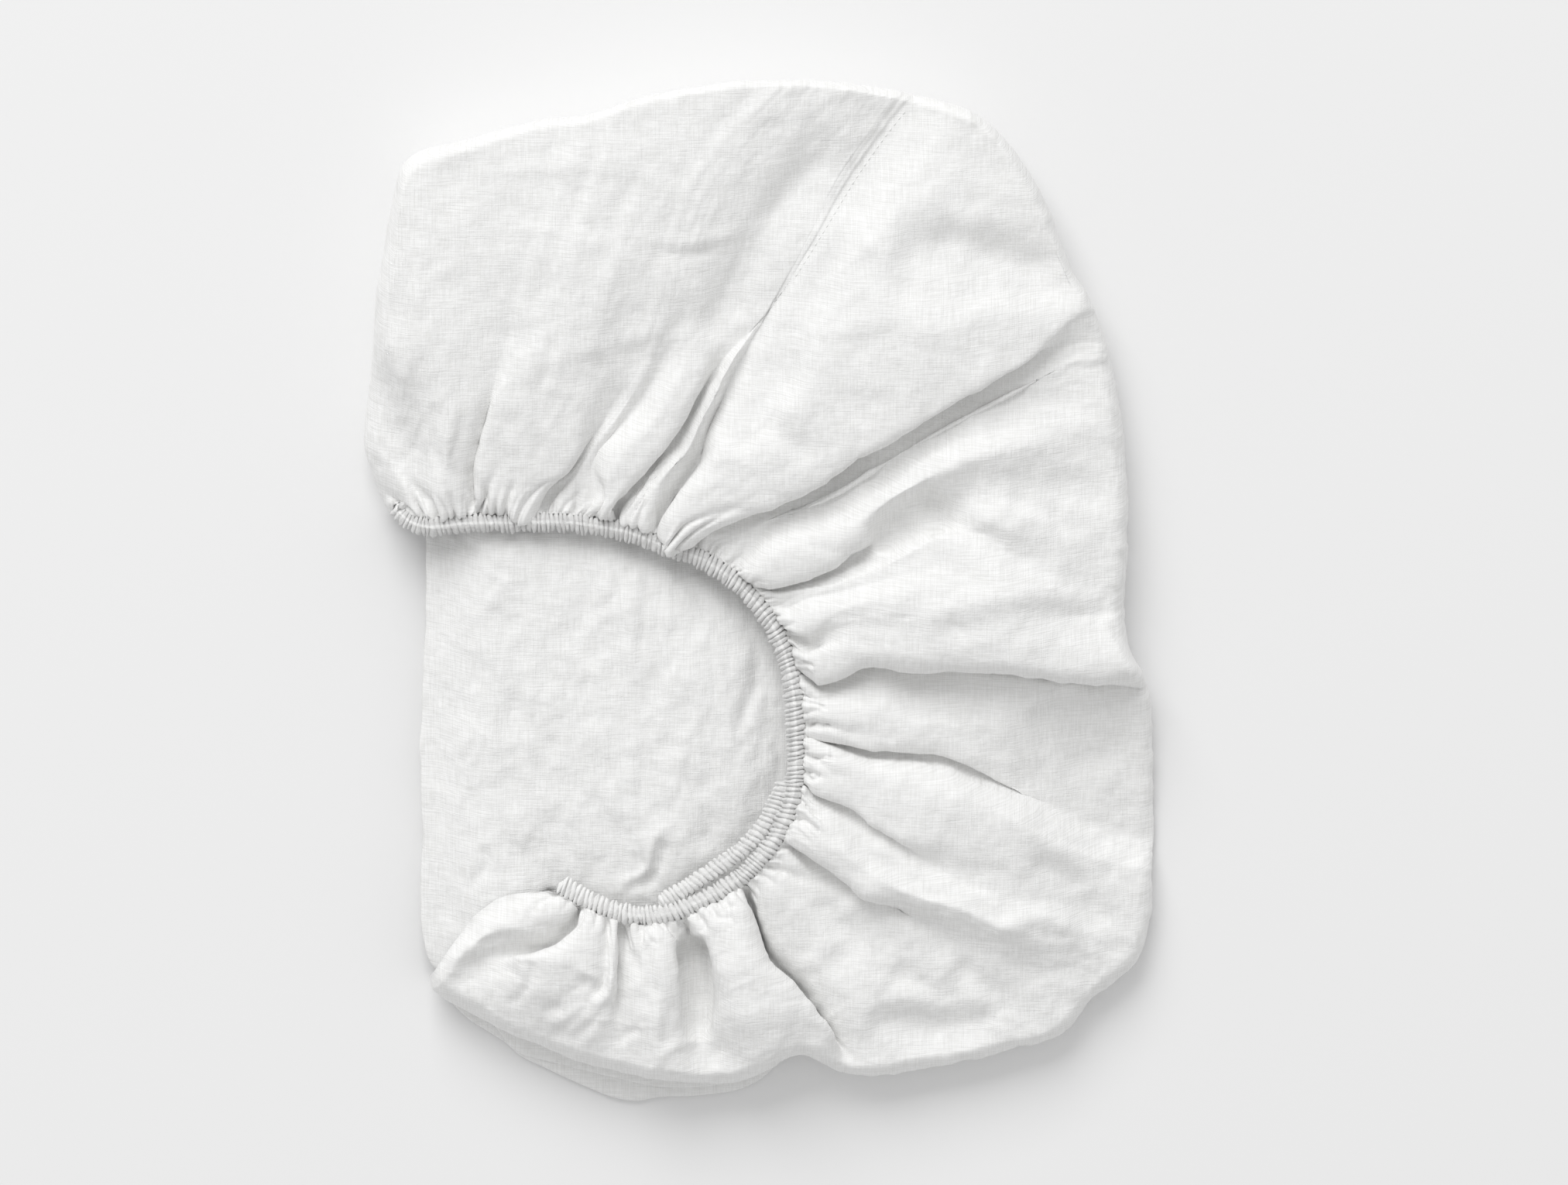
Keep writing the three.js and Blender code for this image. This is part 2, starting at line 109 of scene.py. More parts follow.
# The puffed parts between the folds. z: crest heights in mm near the hem, a third, two thirds and nine tenths of
# the way out. crest: where across it the crest lies. over: how far its end hangs over the hem. n: columns.
PUFFS = [
    # z, crest, over: how far, where across and how wide, n
    ((19, 18, 17, 15), .5, (0, .5, .3), 8),
    ((25, 25, 23, 20), .5, (0, .5, .3), 16),
    ((33, 38, 40.5, 38), .50, (8, .5, .35), 40),
    ((34, 40, 43, 40.5), (.45, .7), (29, .68, .17), 46),
    ((28, 34, 42, 41), (.5, .2), (0, .5, .3), 16),
    ((35, 36, 38, 37), (.3, .1), (3, .4, .3), 30),
    ((35, 38, 36, 33), .50, (9, .4, .3), 18),
    ((38, 42, 43.5, 40), (.30, .28), (31, .55, .26), 66),
    ((27, 29, 31.5, 32.5), (.6, .6), (0, .5, .3), 18),
    ((35, 39, 40, 37), (.40, .5), (3, .4, .3), 34),
    ((30, 37, 41.5, 38), (.50, .8), (0, .5, .3), 22),
    ((35, 42, 43, 38), .50, (3, .5, .3), 26),
    ((35, 42, 43, 40), (.40, .6), (4, .5, .3), 24),
    ((33, 29, 24, 20), (.4, .05), (3, .6, .3), 34),
    ((34, 34.5, 31, 23), (.30, .22), (3, .4, .3), 30),
    ((35, 36, 33, 24), (.32, .25), (4, .5, .3), 32),
    ((27, 24, 25, 23), (.6, .7), (0, .5, .3), 40),
    ((34, 37, 36, 30), .40, (4, .5, .3), 28),
    ((32, 35, 34, 30), .50, (2, .5, .3), 26),
    ((30, 34, 32, 24), .50, (2, .5, .3), 16),
    ((31, 35, 33, 23), .50, (3, .5, .3), 32),
    ((28, 30, 29, 23), .50, (3, .5, .3), 20),
]
# Smaller creases laid over the puffs. h: mm, up (+) or down (-); w: half width in plan units.
CREASES = [
    # h, w, path
    (-3.0, 26, [(1125, 700), (1160, 676), (1200, 652), (1225, 646)]),
    (-4.4, 44, [(1150, 316), (1210, 326), (1300, 348), (1400, 380)]),
    (1.0, 24, [(1150, 440), (1230, 425), (1310, 405), (1400, 405)]),
    (-1.6, 22, [(1110, 330), (1150, 370), (1190, 390)]),
    (1.6, 18, [(905, 610), (950, 520), (1000, 430), (1050, 340), (1105, 250)]),
    (-1.8, 20, [(950, 590), (1000, 510), (1040, 450)]),
    (-1.6, 16, [(985, 540), (1020, 570), (1050, 600)]),
    (-1.2, 20, [(1230, 612), (1290, 622), (1370, 630), (1440, 640)]),
    (-3.4, 20, [(1180, 652), (1240, 680), (1300, 712), (1360, 735)]),
    (1.6, 18, [(1180, 800), (1260, 780), (1360, 770), (1420, 790)]),
    (-0.9, 18, [(1270, 560), (1330, 540), (1400, 520)]),
    (-3.6, 28, [(915, 455), (945, 380), (985, 300), (1040, 225), (1085, 180)]),
    (-6.0, 14, [(890, 1210), (897, 1250), (898, 1300), (897, 1345)]),
    (-3.2, 40, [(1350, 900), (1400, 960), (1440, 1000)]),
    (1.3, 16, [(1290, 900), (1300, 950), (1310, 1000)]),
    (-1.8, 16, [(1330, 1110), (1385, 1140), (1430, 1200)]),
    (1.5, 12, [(1280, 1205), (1345, 1185), (1400, 1215)]),
    (-1.8, 16, [(1235, 1240), (1290, 1290), (1285, 1330)]),
    (-3.6, 26, [(1120, 1315), (1200, 1328), (1290, 1318)]),
    (1.8, 16, [(1090, 1190), (1125, 1150), (1150, 1185), (1210, 1235)]),
    (-1.8, 18, [(1150, 1250), (1200, 1275), (1260, 1290)]),
    (1.5, 16, [(985, 1380), (970, 1330), (950, 1280), (935, 1230)]),
    (-1.2, 9, [(765, 1262), (735, 1290), (700, 1310)]),
    (-1.2, 8, [(790, 1290), (765, 1320), (735, 1345)]),
    (1.2, 8, [(770, 1280), (745, 1305), (715, 1325)]),
    (-1.2, 8, [(840, 1210), (838, 1250), (850, 1290)]),
    (-1.0, 7, [(690, 1240), (680, 1275), (655, 1300)]),
    (-0.9, 4, [(730, 150), (712, 200), (695, 262)]),
    (-0.8, 9, [(790, 160), (745, 260), (715, 350), (700, 430)]),
    (0.7, 8, [(760, 160), (725, 250), (690, 350), (668, 430)]),
    (-0.8, 9, [(690, 300), (665, 380), (655, 440), (654, 500)]),
    (0.6, 9, [(620, 200), (600, 300), (590, 400), (585, 480)]),
    (-0.6, 9, [(585, 220), (565, 330), (552, 430)]),
    (-0.7, 8, [(850, 170), (800, 270), (765, 370), (745, 450)]),
    (0.7, 8, [(835, 240), (800, 330), (775, 420), (760, 500)]),
    (-1.0, 7, [(720, 430), (700, 500), (690, 570)]),
    (-1.1, 7, [(600, 470), (598, 540), (585, 600)]),
    (-1.0, 7, [(540, 470), (545, 540), (535, 590)]),
    (-0.6, 5, [(512, 212), (505, 300), (500, 400)]),
    (-0.7, 4, [(533, 356), (552, 349), (572, 340)]),
    (0.8, 9, [(830, 312), (880, 318), (930, 308), (965, 298)]),
    (-1.2, 8, [(840, 322), (885, 330), (930, 322)]),
    (-2.2, 18, [(1200, 300), (1280, 318), (1370, 352)]),
    (-1.0, 20, [(1190, 370), (1240, 384), (1290, 380)]),
    (-1.3, 12, [(1195, 650), (1250, 672), (1305, 702)]),
    (-1.2, 12, [(1300, 640), (1350, 660), (1405, 692)]),
    (-0.9, 10, [(1130, 650), (1180, 690), (1210, 735)]),
    (-1.0, 2.6, [(1038, 935), (1055, 939), (1073, 936)]),
    (-0.8, 2.6, [(1038, 908), (1055, 909), (1070, 917)]),
    (-1.3, 3.0, [(1040, 980), (1058, 978), (1082, 978)]),
    (-1.1, 2.8, [(1038, 1000), (1050, 1006), (1060, 999)]),
    (-0.9, 2.6, [(1030, 858), (1044, 857), (1052, 862)]),
    (-1.0, 2.6, [(812, 1190), (811, 1206), (815, 1226)]),
    (-0.8, 3.0, [(836, 1190), (836, 1206), (850, 1222)]),
    (-0.7, 2.6, [(860, 1190), (872, 1202), (890, 1216)]),
    (-0.9, 2.8, [(930, 1158), (940, 1168), (952, 1170)]),
    (-0.8, 2.8, [(918, 1168), (925, 1182), (946, 1183)]),
    (-0.8, 3.0, [(905, 1180), (910, 1192), (905, 1204)]),
    (-0.9, 3.0, [(680, 1190), (690, 1170), (712, 1158)]),
    (0.9, 6, [(750, 1250), (770, 1264), (720, 1300)]),
    (-1.0, 9, [(787, 1264), (765, 1288), (735, 1318), (710, 1345)]),
    (-1.0, 12, [(1205, 1205), (1240, 1240), (1245, 1290)]),
    (-0.9, 14, [(1050, 1160), (1090, 1200), (1100, 1260)]),
    (-1.0, 9, [(1110, 1100), (1160, 1125), (1210, 1165)]),
    (-0.8, 14, [(1290, 900), (1310, 940), (1300, 1000)]),
    (-0.9, 16, [(1440, 905), (1450, 950), (1440, 1040)]),
    (-0.7, 12, [(1340, 910), (1350, 960), (1345, 1020)]),
    (0.8, 8, [(1420, 800), (1450, 850), (1470, 890)]),
    (-0.8, 7, [(1430, 800), (1448, 835), (1458, 870)]),
    (0.7, 7, [(880, 1340), (850, 1370), (830, 1400)]),
    (-0.9, 7, [(825, 1325), (805, 1340), (795, 1350)]),
    (-0.7, 2.4, [(805, 668), (817, 645), (831, 622), (845, 603), (862, 580)]),
    (-0.7, 2.4, [(813, 672), (825, 650), (839, 627), (853, 608), (869, 586)]),
    (-0.7, 10, [(940, 1310), (930, 1350), (915, 1380)]),
    (0.8, 10, [(1020, 1290), (1010, 1330), (1000, 1360)]),
    (-0.7, 8, [(485, 572), (500, 590), (520, 606)]),
    (-0.8, 8, [(565, 520), (560, 570), (575, 620)]),
    (-0.7, 10, [(640, 560), (650, 610), (655, 645)]),
    (-0.8, 9, [(690, 600), (700, 560), (712, 500)]),
]
# Soft creases of the folded panel's top layer.
PANEL_CREASES = [
    (-1.1, 9, [(1000, 848), (975, 890), (950, 950)]),
    (0.9, 6, [(860, 1062), (842, 1092), (836, 1122), (805, 1142), (796, 1160)]),
    (-1.3, 8, [(858, 1085), (848, 1120), (830, 1150)]),
    (-0.9, 5, [(622, 1092), (628, 1112), (618, 1130), (605, 1152)]),
    (-1.0, 14, [(985, 800), (978, 850), (985, 900)]),
    (-0.8, 10, [(612, 700), (600, 722), (585, 750)]),
    (0.7, 10, [(575, 705), (562, 735), (556, 770)]),
    (-0.7, 12, [(770, 730), (750, 790), (735, 840)]),
    (0.6, 14, [(820, 760), (815, 830), (840, 890)]),
    (-0.6, 18, [(650, 900), (700, 960), (690, 1040)]),
    (0.6, 16, [(760, 930), (800, 1000), (790, 1060)]),
    (-0.6, 14, [(900, 1000), (920, 1050), (900, 1100)]),
    (-0.7, 10, [(560, 900), (566, 1000), (560, 1100)]),
]


# ---------------------------------------------------------------- small tools
def smooth(x, a, b):
    t = np.clip((np.asarray(x, float) - a) / (b - a), 0, 1)
    return t * t * (3 - 2 * t)


def dense(points, step=1.0):
    """A smooth open line through the points, sampled evenly by length."""
    p = np.asarray(points, float)
    q = np.vstack([2 * p[0] - p[1], p, 2 * p[-1] - p[-2]])
    out = []
    for i in range(1, len(q) - 2):
        a, b, c, d = q[i - 1], q[i], q[i + 1], q[i + 2]
        ka, kb, kc = (max(np.linalg.norm(v), 1e-6) ** 0.5 for v in (b - a, c - b, d - c))
        m1 = (c - b) + kb * ((b - a) / ka - (c - a) / (ka + kb))
        m2 = (c - b) + kb * ((d - c) / kc - (d - b) / (kb + kc))
        n = max(2, int(np.linalg.norm(c - b) / step) + 1)
        t = np.linspace(0, 1, n, endpoint=False)[:, None]
        out.append((2 * t**3 - 3 * t**2 + 1) * b + (t**3 - 2 * t**2 + t) * m1 + (3 * t**2 - 2 * t**3) * c + (t**3 - t**2) * m2)
    out.append(q[-2][None])
    return np.vstack(out)


def along(line, where):
    """Points of a line at the given fractions of its length, and its length."""
    s = np.r_[0, np.cumsum(np.linalg.norm(np.diff(line, axis=0), axis=1))]
    w = np.asarray(where, float) * s[-1]
    return np.stack([np.interp(w, s, line[:, k]) for k in range(line.shape[1])], -1), s[-1]


def grid_noise(x, y, seed, size=256):
    """Smooth noise of pitch 1, about -1 to 1, the same on every run."""
    r = np.random.default_rng(seed).uniform(-1, 1, (size, size))
    xi, yi = np.floor(x).astype(int), np.floor(y).astype(int)
    fx, fy = x - xi, y - yi
    fx, fy = fx * fx * fx * (fx * (6 * fx - 15) + 10), fy * fy * fy * (fy * (6 * fy - 15) + 10)
    g = lambda a, b: r[a % size, b % size]
    return ((g(xi, yi) * (1 - fx) + g(xi + 1, yi) * fx) * (1 - fy) + (g(xi, yi + 1) * (1 - fx) + g(xi + 1, yi + 1) * fx) * fy)


def crumple(x, y, seed, pitch, octaves=3):
    """Soft ground with crisp ridges and valleys here and there, in octaves turned against each other."""
    total, amp, norm = np.zeros_like(x), 1.0, 0.0
    for k in range(octaves):
        a = 0.7 + 1.9 * k + 0.37 * seed
        u, v = (x * math.cos(a) + y * math.sin(a)) / pitch, (y * math.cos(a) - x * math.sin(a)) / (pitch * 1.5)
        wx, wy = grid_noise(u * 0.7 + 9.1, v * 0.7, seed + 31 + k), grid_noise(u * 0.7 + 4.4, v * 0.7 + 8.2, seed + 37 + k)
        n = grid_noise(u + 0.5 * wx, v + 0.5 * wy, seed + k)
        sign = np.clip(2.2 * grid_noise(u * 0.45 + 3.3, v * 0.45 + 7.7, seed + 60 + k), -1, 1)
        crease = (1 - np.minimum(np.abs(n) * 2.2, 1)) ** 2
        total += amp * (0.55 * n + 0.55 * sign * crease)
        norm += amp
        pitch, amp = pitch * 0.5, amp * 0.55
    return total / norm


def line_distance(x, y, path):
    """Distance in plan units to a path, and how far along it (0 to 1) the nearest point lies."""
    p = dense(path, 3.0)
    best, where = np.full(x.shape, 1e9), np.zeros(x.shape)
    n = len(p) - 1
    for i in range(n):
        a, d = p[i], p[i + 1] - p[i]
        t = np.clip(((x - a[0]) * d[0] + (y - a[1]) * d[1]) / max(d @ d, 1e-9), 0, 1)
        r = np.hypot(x - a[0] - t * d[0], y - a[1] - t * d[1])
        near = r < best
        best, where = np.where(near, r, best), np.where(near, (i + t) / n, where)
    return best, where


def creases(x, y, table):
    total = np.zeros_like(x)
    for h, w, path in table:
        p = np.asarray(path, float)
        box = (x > p[:, 0].min() - 3 * w) & (x < p[:, 0].max() + 3 * w) & (y > p[:, 1].min() - 3 * w) & (y < p[:, 1].max() + 3 * w)
        if not box.any():
            continue
        d, s = line_distance(x[box], y[box], path)
        total[box] += h * np.exp(-((d / w) ** 2)) * smooth(s, -0.001, 0.18) ** 0.5 * (1 - smooth(s, 0.72, 1.001)) ** 0.5
    return total


def normals(p):
    """Unit normals of a grid of points in one unit."""
    du, dv = np.gradient(p, axis=0), np.gradient(p, axis=1)
    n = np.cross(du, dv)
    return n / np.maximum(np.linalg.norm(n, axis=-1, keepdims=True), 1e-9)


def blur(a, n, axis):
    for _ in range(n):
        lo, hi = np.take(a, [0], axis), np.take(a, [-1], axis)
        e = np.concatenate([lo, a, hi], axis)
        m = a.shape[axis]
        a = 0.25 * np.take(e, range(0, m), axis) + 0.5 * a + 0.25 * np.take(e, range(2, m + 2), axis)
    return a


def add_mesh(name, grids, material, uvs=None):
    """One object from grids of points in metres, quads only."""
    verts, faces, uv = [], [], []
    base = 0
    for gi, (g, closed) in enumerate(grids):
        ni, nj = g.shape[:2]
        verts.append(g.reshape(-1, 3))
        i, j = np.meshgrid(np.arange(ni if closed else ni - 1), np.arange(nj - 1), indexing="ij")
        a = base + (i * nj + j).ravel()
        b = base + (((i + 1) % ni) * nj + j).ravel()
        faces.append(np.stack([a, b, b + 1, a + 1], -1))
        base += ni * nj
    v, f = np.vstack(verts), np.vstack(faces)
    me = bpy.data.meshes.new(name)
    me.vertices.add(len(v))
    me.vertices.foreach_set("co", v.astype(np.float32).ravel())
    me.loops.add(len(f) * 4)
    me.loops.foreach_set("vertex_index", f.astype(np.int32).ravel())
    me.polygons.add(len(f))
    me.polygons.foreach_set("loop_start", np.arange(0, len(f) * 4, 4, dtype=np.int32))
    me.polygons.foreach_set("loop_total", np.full(len(f), 4, dtype=np.int32))
    me.update(calc_edges=True)
    me.polygons.foreach_set("use_smooth", np.ones(len(f), dtype=bool))
    if uvs is not None:
        layer = me.uv_layers.new(name="UVMap")
        layer.data.foreach_set("uv", np.vstack(uvs)[f.ravel()].astype(np.float32).ravel())
    me.validate()
    ob = bpy.data.objects.new(name, me)
    bpy.context.scene.collection.objects.link(ob)
    me.materials.append(material)
    return ob


def cloth_uv(g):
    """Cloth coordinates in metres of a grid, measured over its surface."""
    di = np.linalg.norm(np.diff(g, axis=0), axis=-1)
    dj = np.linalg.norm(np.diff(g, axis=1), axis=-1)
    u = np.vstack([np.zeros((1, g.shape[1])), np.cumsum(di, axis=0)])
    v = np.hstack([np.zeros((g.shape[0], 1)), np.cumsum(dj, axis=1)])
    return np.stack([u, v], -1).reshape(-1, 2)


# ---------------------------------------------------------------- linen
def linen(name, weave=0.69, bump=0.31, crumple_mm=0.78, tint=(0.885, 0.885, 0.88)):
    m = bpy.data.materials.new(name)
    m.use_nodes = True
    nt = m.node_tree
    b = nt.nodes["Principled BSDF"]
    b.inputs["Base Color"].default_value = (*tint, 1)
    b.inputs["Roughness"].default_value = 0.92
    b.inputs["Specular IOR Level"].default_value = 0.18
    b.inputs["Sheen Weight"].default_value = 0.12
    b.inputs["Sheen Roughness"].default_value = 0.5

    def node(kind, **kw):
        n = nt.nodes.new(kind)
        for k, v in kw.items():
            setattr(n, k, v)
        return n

    def math_node(op, a, c=None, value=None):
        n = node("ShaderNodeMath", operation=op)
        nt.links.new(a, n.inputs[0])
        if c is not None:
            nt.links.new(c, n.inputs[1])
        elif value is not None:
            n.inputs[1].default_value = value
        return n.outputs[0]

    uv = node("ShaderNodeUVMap", uv_map="UVMap").outputs[0]
    # threads: thick and thin along each direction of the weave
    threads = []
    for axis in (0, 1):
        stretch = node("ShaderNodeMapping")
        stretch.inputs["Scale"].default_value = (1000 / 9.0, 1000 / 0.62, 1) if axis == 0 else (1000 / 0.62, 1000 / 9.0, 1)
        nt.links.new(uv, stretch.inputs["Vector"])
        n = node("ShaderNodeTexNoise")
        n.inputs["Scale"].default_value = 1.0
        n.inputs["Detail"].default_value = 1.5
        n.inputs["Roughness"].default_value = 0.55
        nt.links.new(stretch.outputs[0], n.inputs["Vector"])
        threads.append(n.outputs["Fac"])
    slub = math_node("MULTIPLY", math_node("ADD", threads[0], threads[1]), value=0.5)
    # the plain weave itself
    waves = []
    for axis in ("X", "Y"):
        w = node("ShaderNodeTexWave", wave_type="BANDS", bands_direction=axis, wave_profile="SIN")
        w.inputs["Scale"].default_value = 1000 / weave / 3.18
        w.inputs["Distortion"].default_value = 0.6
        w.inputs["Detail"].default_value = 1.0
        w.inputs["Detail Scale"].default_value = 0.4
        nt.links.new(uv, w.inputs["Vector"])
        waves.append(w.outputs["Fac"])
    weave_out = math_node("MULTIPLY", math_node("ADD", waves[0], waves[1]), value=0.5)
    height = math_node("ADD", math_node("MULTIPLY", slub, value=0.86), math_node("MULTIPLY", weave_out, value=0.14))
    bump_node = node("ShaderNodeBump")
    bump_node.inputs["Strength"].default_value = 1.0
    bump_node.inputs["Distance"].default_value = bump * 0.001
    nt.links.new(height, bump_node.inputs["Height"])
    # fine crumple
    soft = node("ShaderNodeTexNoise")
    soft.inputs["Scale"].default_value = 1000 / 9.0
    soft.inputs["Detail"].default_value = 4.0
    soft.inputs["Roughness"].default_value = 0.55
    nt.links.new(uv, soft.inputs["Vector"])
    bump2 = node("ShaderNodeBump")
    bump2.inputs["Strength"].default_value = 1.0
    bump2.inputs["Distance"].default_value = crumple_mm * 0.001
    nt.links.new(soft.outputs["Fac"], bump2.inputs["Height"])
    nt.links.new(bump_node.outputs[0], bump2.inputs["Normal"])
    nt.links.new(bump2.outputs[0], b.inputs["Normal"])
    # colour: threads slightly uneven, gaps between them slightly darker
    ramp = node("ShaderNodeMapRange")
    ramp.inputs["From Min"].default_value = 0.38
    ramp.inputs["From Max"].default_value = 0.62
    ramp.inputs["To Min"].default_value = 0.0
    ramp.inputs["To Max"].default_value = 1.0
    nt.links.new(height, ramp.inputs["Value"])
    mix = node("ShaderNodeMix", data_type="RGBA")
    mix.inputs["A"].default_value = (tint[0] * 0.90, tint[1] * 0.898, tint[2] * 0.89, 1)
    mix.inputs["B"].default_value = (min(tint[0] * 1.035, 1), min(tint[1] * 1.035, 1), min(tint[2] * 1.035, 1), 1)
    nt.links.new(ramp.outputs[0], mix.inputs["Factor"])
    nt.links.new(mix.outputs["Result"], b.inputs["Base Color"])
    return m


LINEN = linen("linen")
LINEN_HEM = linen("linen_hem", crumple_mm=0.12)


# ---------------------------------------------------------------- the skirt
NEAR, MID, RIM, UNDER, PLATE = 22, 72, 16, 8, 3  # rows of the grid: by the hem, across, rim, under it, and below
HEM_LINE = dense(HEM, 1.0)
HEM_TANGENT = np.gradient(HEM_LINE, axis=0)
HEM_TANGENT /= np.linalg.norm(HEM_TANGENT, axis=1, keepdims=True)
HEM_OUT = np.stack([HEM_TANGENT[:, 1], -HEM_TANGENT[:, 0]], -1)  # away from the panel
OUTER = HEM_LINE + HEM_OUT * (0.42 * HEM_W / UNIT)
OUT_LINE = dense(OUTLINE, 1.0)


def nearest(line, p):
    return int(np.argmin(np.hypot(line[:, 0] - p[0], line[:, 1] - p[1])))


def stations(length, widest):
    """Distances from the hem of the rows, for a fold of this length and the widest its rim's turn may be."""
    rim = min(widest, 0.30 * length)
    near = min(42.0, 0.30 * length)
    a = near * np.linspace(0, 1, NEAR, endpoint=False) ** 1.45
    b = np.linspace(near, length - rim, MID, endpoint=False)
    c = length - rim * (1 - np.sin(np.linspace(0, math.pi / 2, RIM)))
    return np.r_[a, b, c], rim


ROWS = NEAR + MID + RIM
paths, hem_at, out_at, spots, rims, lengths = [], [], [], [], [], []
for name, lap, cut, till, z, path in FOLDS:
    line = dense(path, 1.0)
    h, o = max(nearest(OUTER, line[0]), hem_at[-1] + 4 if hem_at else 0), nearest(OUT_LINE, line[-1])
    # its ends are drawn on to the hem and the outline
    s = np.linspace(0, 1, len(line))[:, None]
    line = line + (OUTER[h] - line[0]) * (1 - smooth(s, 0, 0.25)) + (OUT_LINE[o] - line[-1]) * smooth(s, 0.7, 1)
    length = np.linalg.norm(np.diff(line, axis=0), axis=1).sum()
    t, rim = stations(length, np.interp(len(hem_at), [2, 3, 6, 8, 10], [27.0, 18.0, 17.0, 19.0, 21.0]))
    p, _ = along(line, t / length)
    paths.append(p)
    hem_at.append(h)
    out_at.append(o)
    spots.append(t)
    rims.append(rim)
    lengths.append(length)
paths, spots = np.array(paths), np.array(spots)
rims, lengths = np.array(rims), np.array(lengths)
assert all(np.diff(hem_at) > 0) and all(np.diff(out_at) > 0), (hem_at, out_at)

# the laps: each fold's lower line is drawn back under the part that lies over it
frac = spots / lengths[:, None]
laps, sharp = np.zeros(frac.shape), np.zeros(frac.shape)
for i, (name, lap, cut, till, z, path) in enumerate(FOLDS):
    fade = 1 - smooth(frac[i], till - 0.16, till + 0.14)
    sharp[i] = cut * fade
    uneven = 1 + 0.3 * grid_noise(spots[i] / 34.0, np.full(ROWS, 7.7 * i), 91)
    laps[i] = lap * smooth(spots[i], 0, 16) * fade * uneven
tangent = np.gradient(paths, axis=1)
tangent /= np.linalg.norm(tangent, axis=-1, keepdims=True)
# clockwise sideways direction: to the part after the fold
aside = np.stack([-tangent[..., 1], tangent[..., 0]], -1)
floor_line = paths - aside * laps[..., None]
floor_z = np.zeros(frac.shape)
for i, (name, lap, cut, till, z, path) in enumerate(FOLDS):
    floor_z[i] = np.interp(frac[i], [0, .33, .66, 1], z) - 1.2 * sharp[i] * (1 + grid_noise(spots[i] / 26.0, np.full(ROWS, 3.1 * i), 92))
floor_z = blur(floor_z, 8, 1)
crest_rows = []
for k, (zc, crest, over, n) in enumerate(PUFFS):
    w = 0.5 * (frac[k] + frac[k + 1])
    crest_rows.append(blur(np.interp(w, [0.0, 0.10, .36, .66, .92], [max(zc[0] - 3, 25.5) if k > 1 else zc[0], *zc])[None], 14, 1)[0])
    for i in (k, k + 1):
        floor_z[i] = np.minimum(floor_z[i], crest_rows[k])


def one_side(gap, low, crest, over, under, keen, spread):
    """Distances in from the floor line and heights of four points up one side of a puff."""
    H = crest - low
    o, u, k = over, under, keen
    wide = np.minimum(gap, 190.0)
    soft_q = [0.07 * wide, 0.16 * wide, 0.27 * wide, 0.40 * wide]
    soft_h = [0.07, 0.26, 0.56, 0.86]
    ov, un = np.clip(o / 4, 0, 1), np.clip(u / 4, 0, 1)
    lim = np.minimum(1.0, gap / 70.0) * (spread * (1 - ov) + 0.9 * ov)
    # an edge that lies over is flat up to its lip and tucks in under it; one that lies under climbs slowly
    keen_q = [-0.55 * o + 0.55 * u + 1.2 * lim, -1.0 * o + u + 3.2 * lim, -1.0 * o + u + 8.0 * lim * (1 - 0.75 * ov), -0.55 * o + u + 22.0 * lim * (1 - 0.55 * ov)]
    keen_h = [0.16 + 0.08 * ov - 0.08 * un, 0.36 + 0.10 * ov - 0.16 * un, 0.60 + 0.12 * ov - 0.18 * un, 0.86 + 0.07 * ov - 0.08 * un]
    q = [a * (1 - k) + b * k for a, b in zip(soft_q, keen_q)]
    h = [low + (a * (1 - k) + b * k) * H for a, b in zip(soft_h, keen_h)]
    return q, h


def profile(W, top_z, low_l, low_r, dl, dr, keenL, keenR, spread, crest, samples):
    """Across one puff, row by row: distance from its left floor line and height. W: width, low_l and low_r: heights
    of its two floors, dl and dr: the laps at its left (- it lies over, + under) and right (+ it lies over, - under)."""
    rows = len(W)
    gap = np.maximum(W - np.maximum(dl, 0) - np.maximum(-dr, 0), 0.3 * W)
    ql, hl = one_side(gap, low_l, top_z, np.maximum(-dl, 0), np.maximum(dl, 0), keenL, spread[0])
    qr, hr = one_side(gap, low_r, top_z, np.maximum(dr, 0), np.maximum(-dr, 0), keenR, spread[1])
    zero = np.zeros(rows)
    a, b = ql[3], W - qr[3]
    q = np.stack([zero, *ql, a + (b - a) * crest, *[W - v for v in qr[::-1]], W], -1)
    h = np.stack([low_l, *hl, top_z, *hr[::-1], low_r], -1)
    # a smooth line through them, then even steps along it
    t = np.linspace(0, q.shape[1] - 1, 12 * (q.shape[1] - 1) + 1)
    i = np.minimum(t.astype(int), q.shape[1] - 2)
    f = t - i

    def spline(c):
        e = np.concatenate([2 * c[:, :1] - c[:, 1:2], c, 2 * c[:, -1:] - c[:, -2:-1]], 1)
        a, b, d, g = e[:, i], e[:, i + 1], e[:, i + 2], e[:, i + 3]
        return 0.5 * (2 * b + (d - a) * f + (2 * a - 5 * b + 4 * d - g) * f**2 + (3 * b - a - 3 * d + g) * f**3)

    Q, Hh = spline(q), spline(h)
    # more columns on the steep sides than on the crest
    step = np.hypot(np.diff(Q, axis=1) * UNIT, 1.6 * np.diff(Hh, axis=1))
    s = np.concatenate([np.zeros((rows, 1)), np.cumsum(step, 1)], 1)
    s /= s[:, -1:]
    want = np.linspace(0, 1, samples + 1)
    out_q = np.array([np.interp(want, s[r], Q[r]) for r in range(rows)])
    out_h = np.array([np.interp(want, s[r], Hh[r]) for r in range(rows)])
    return out_q, out_h


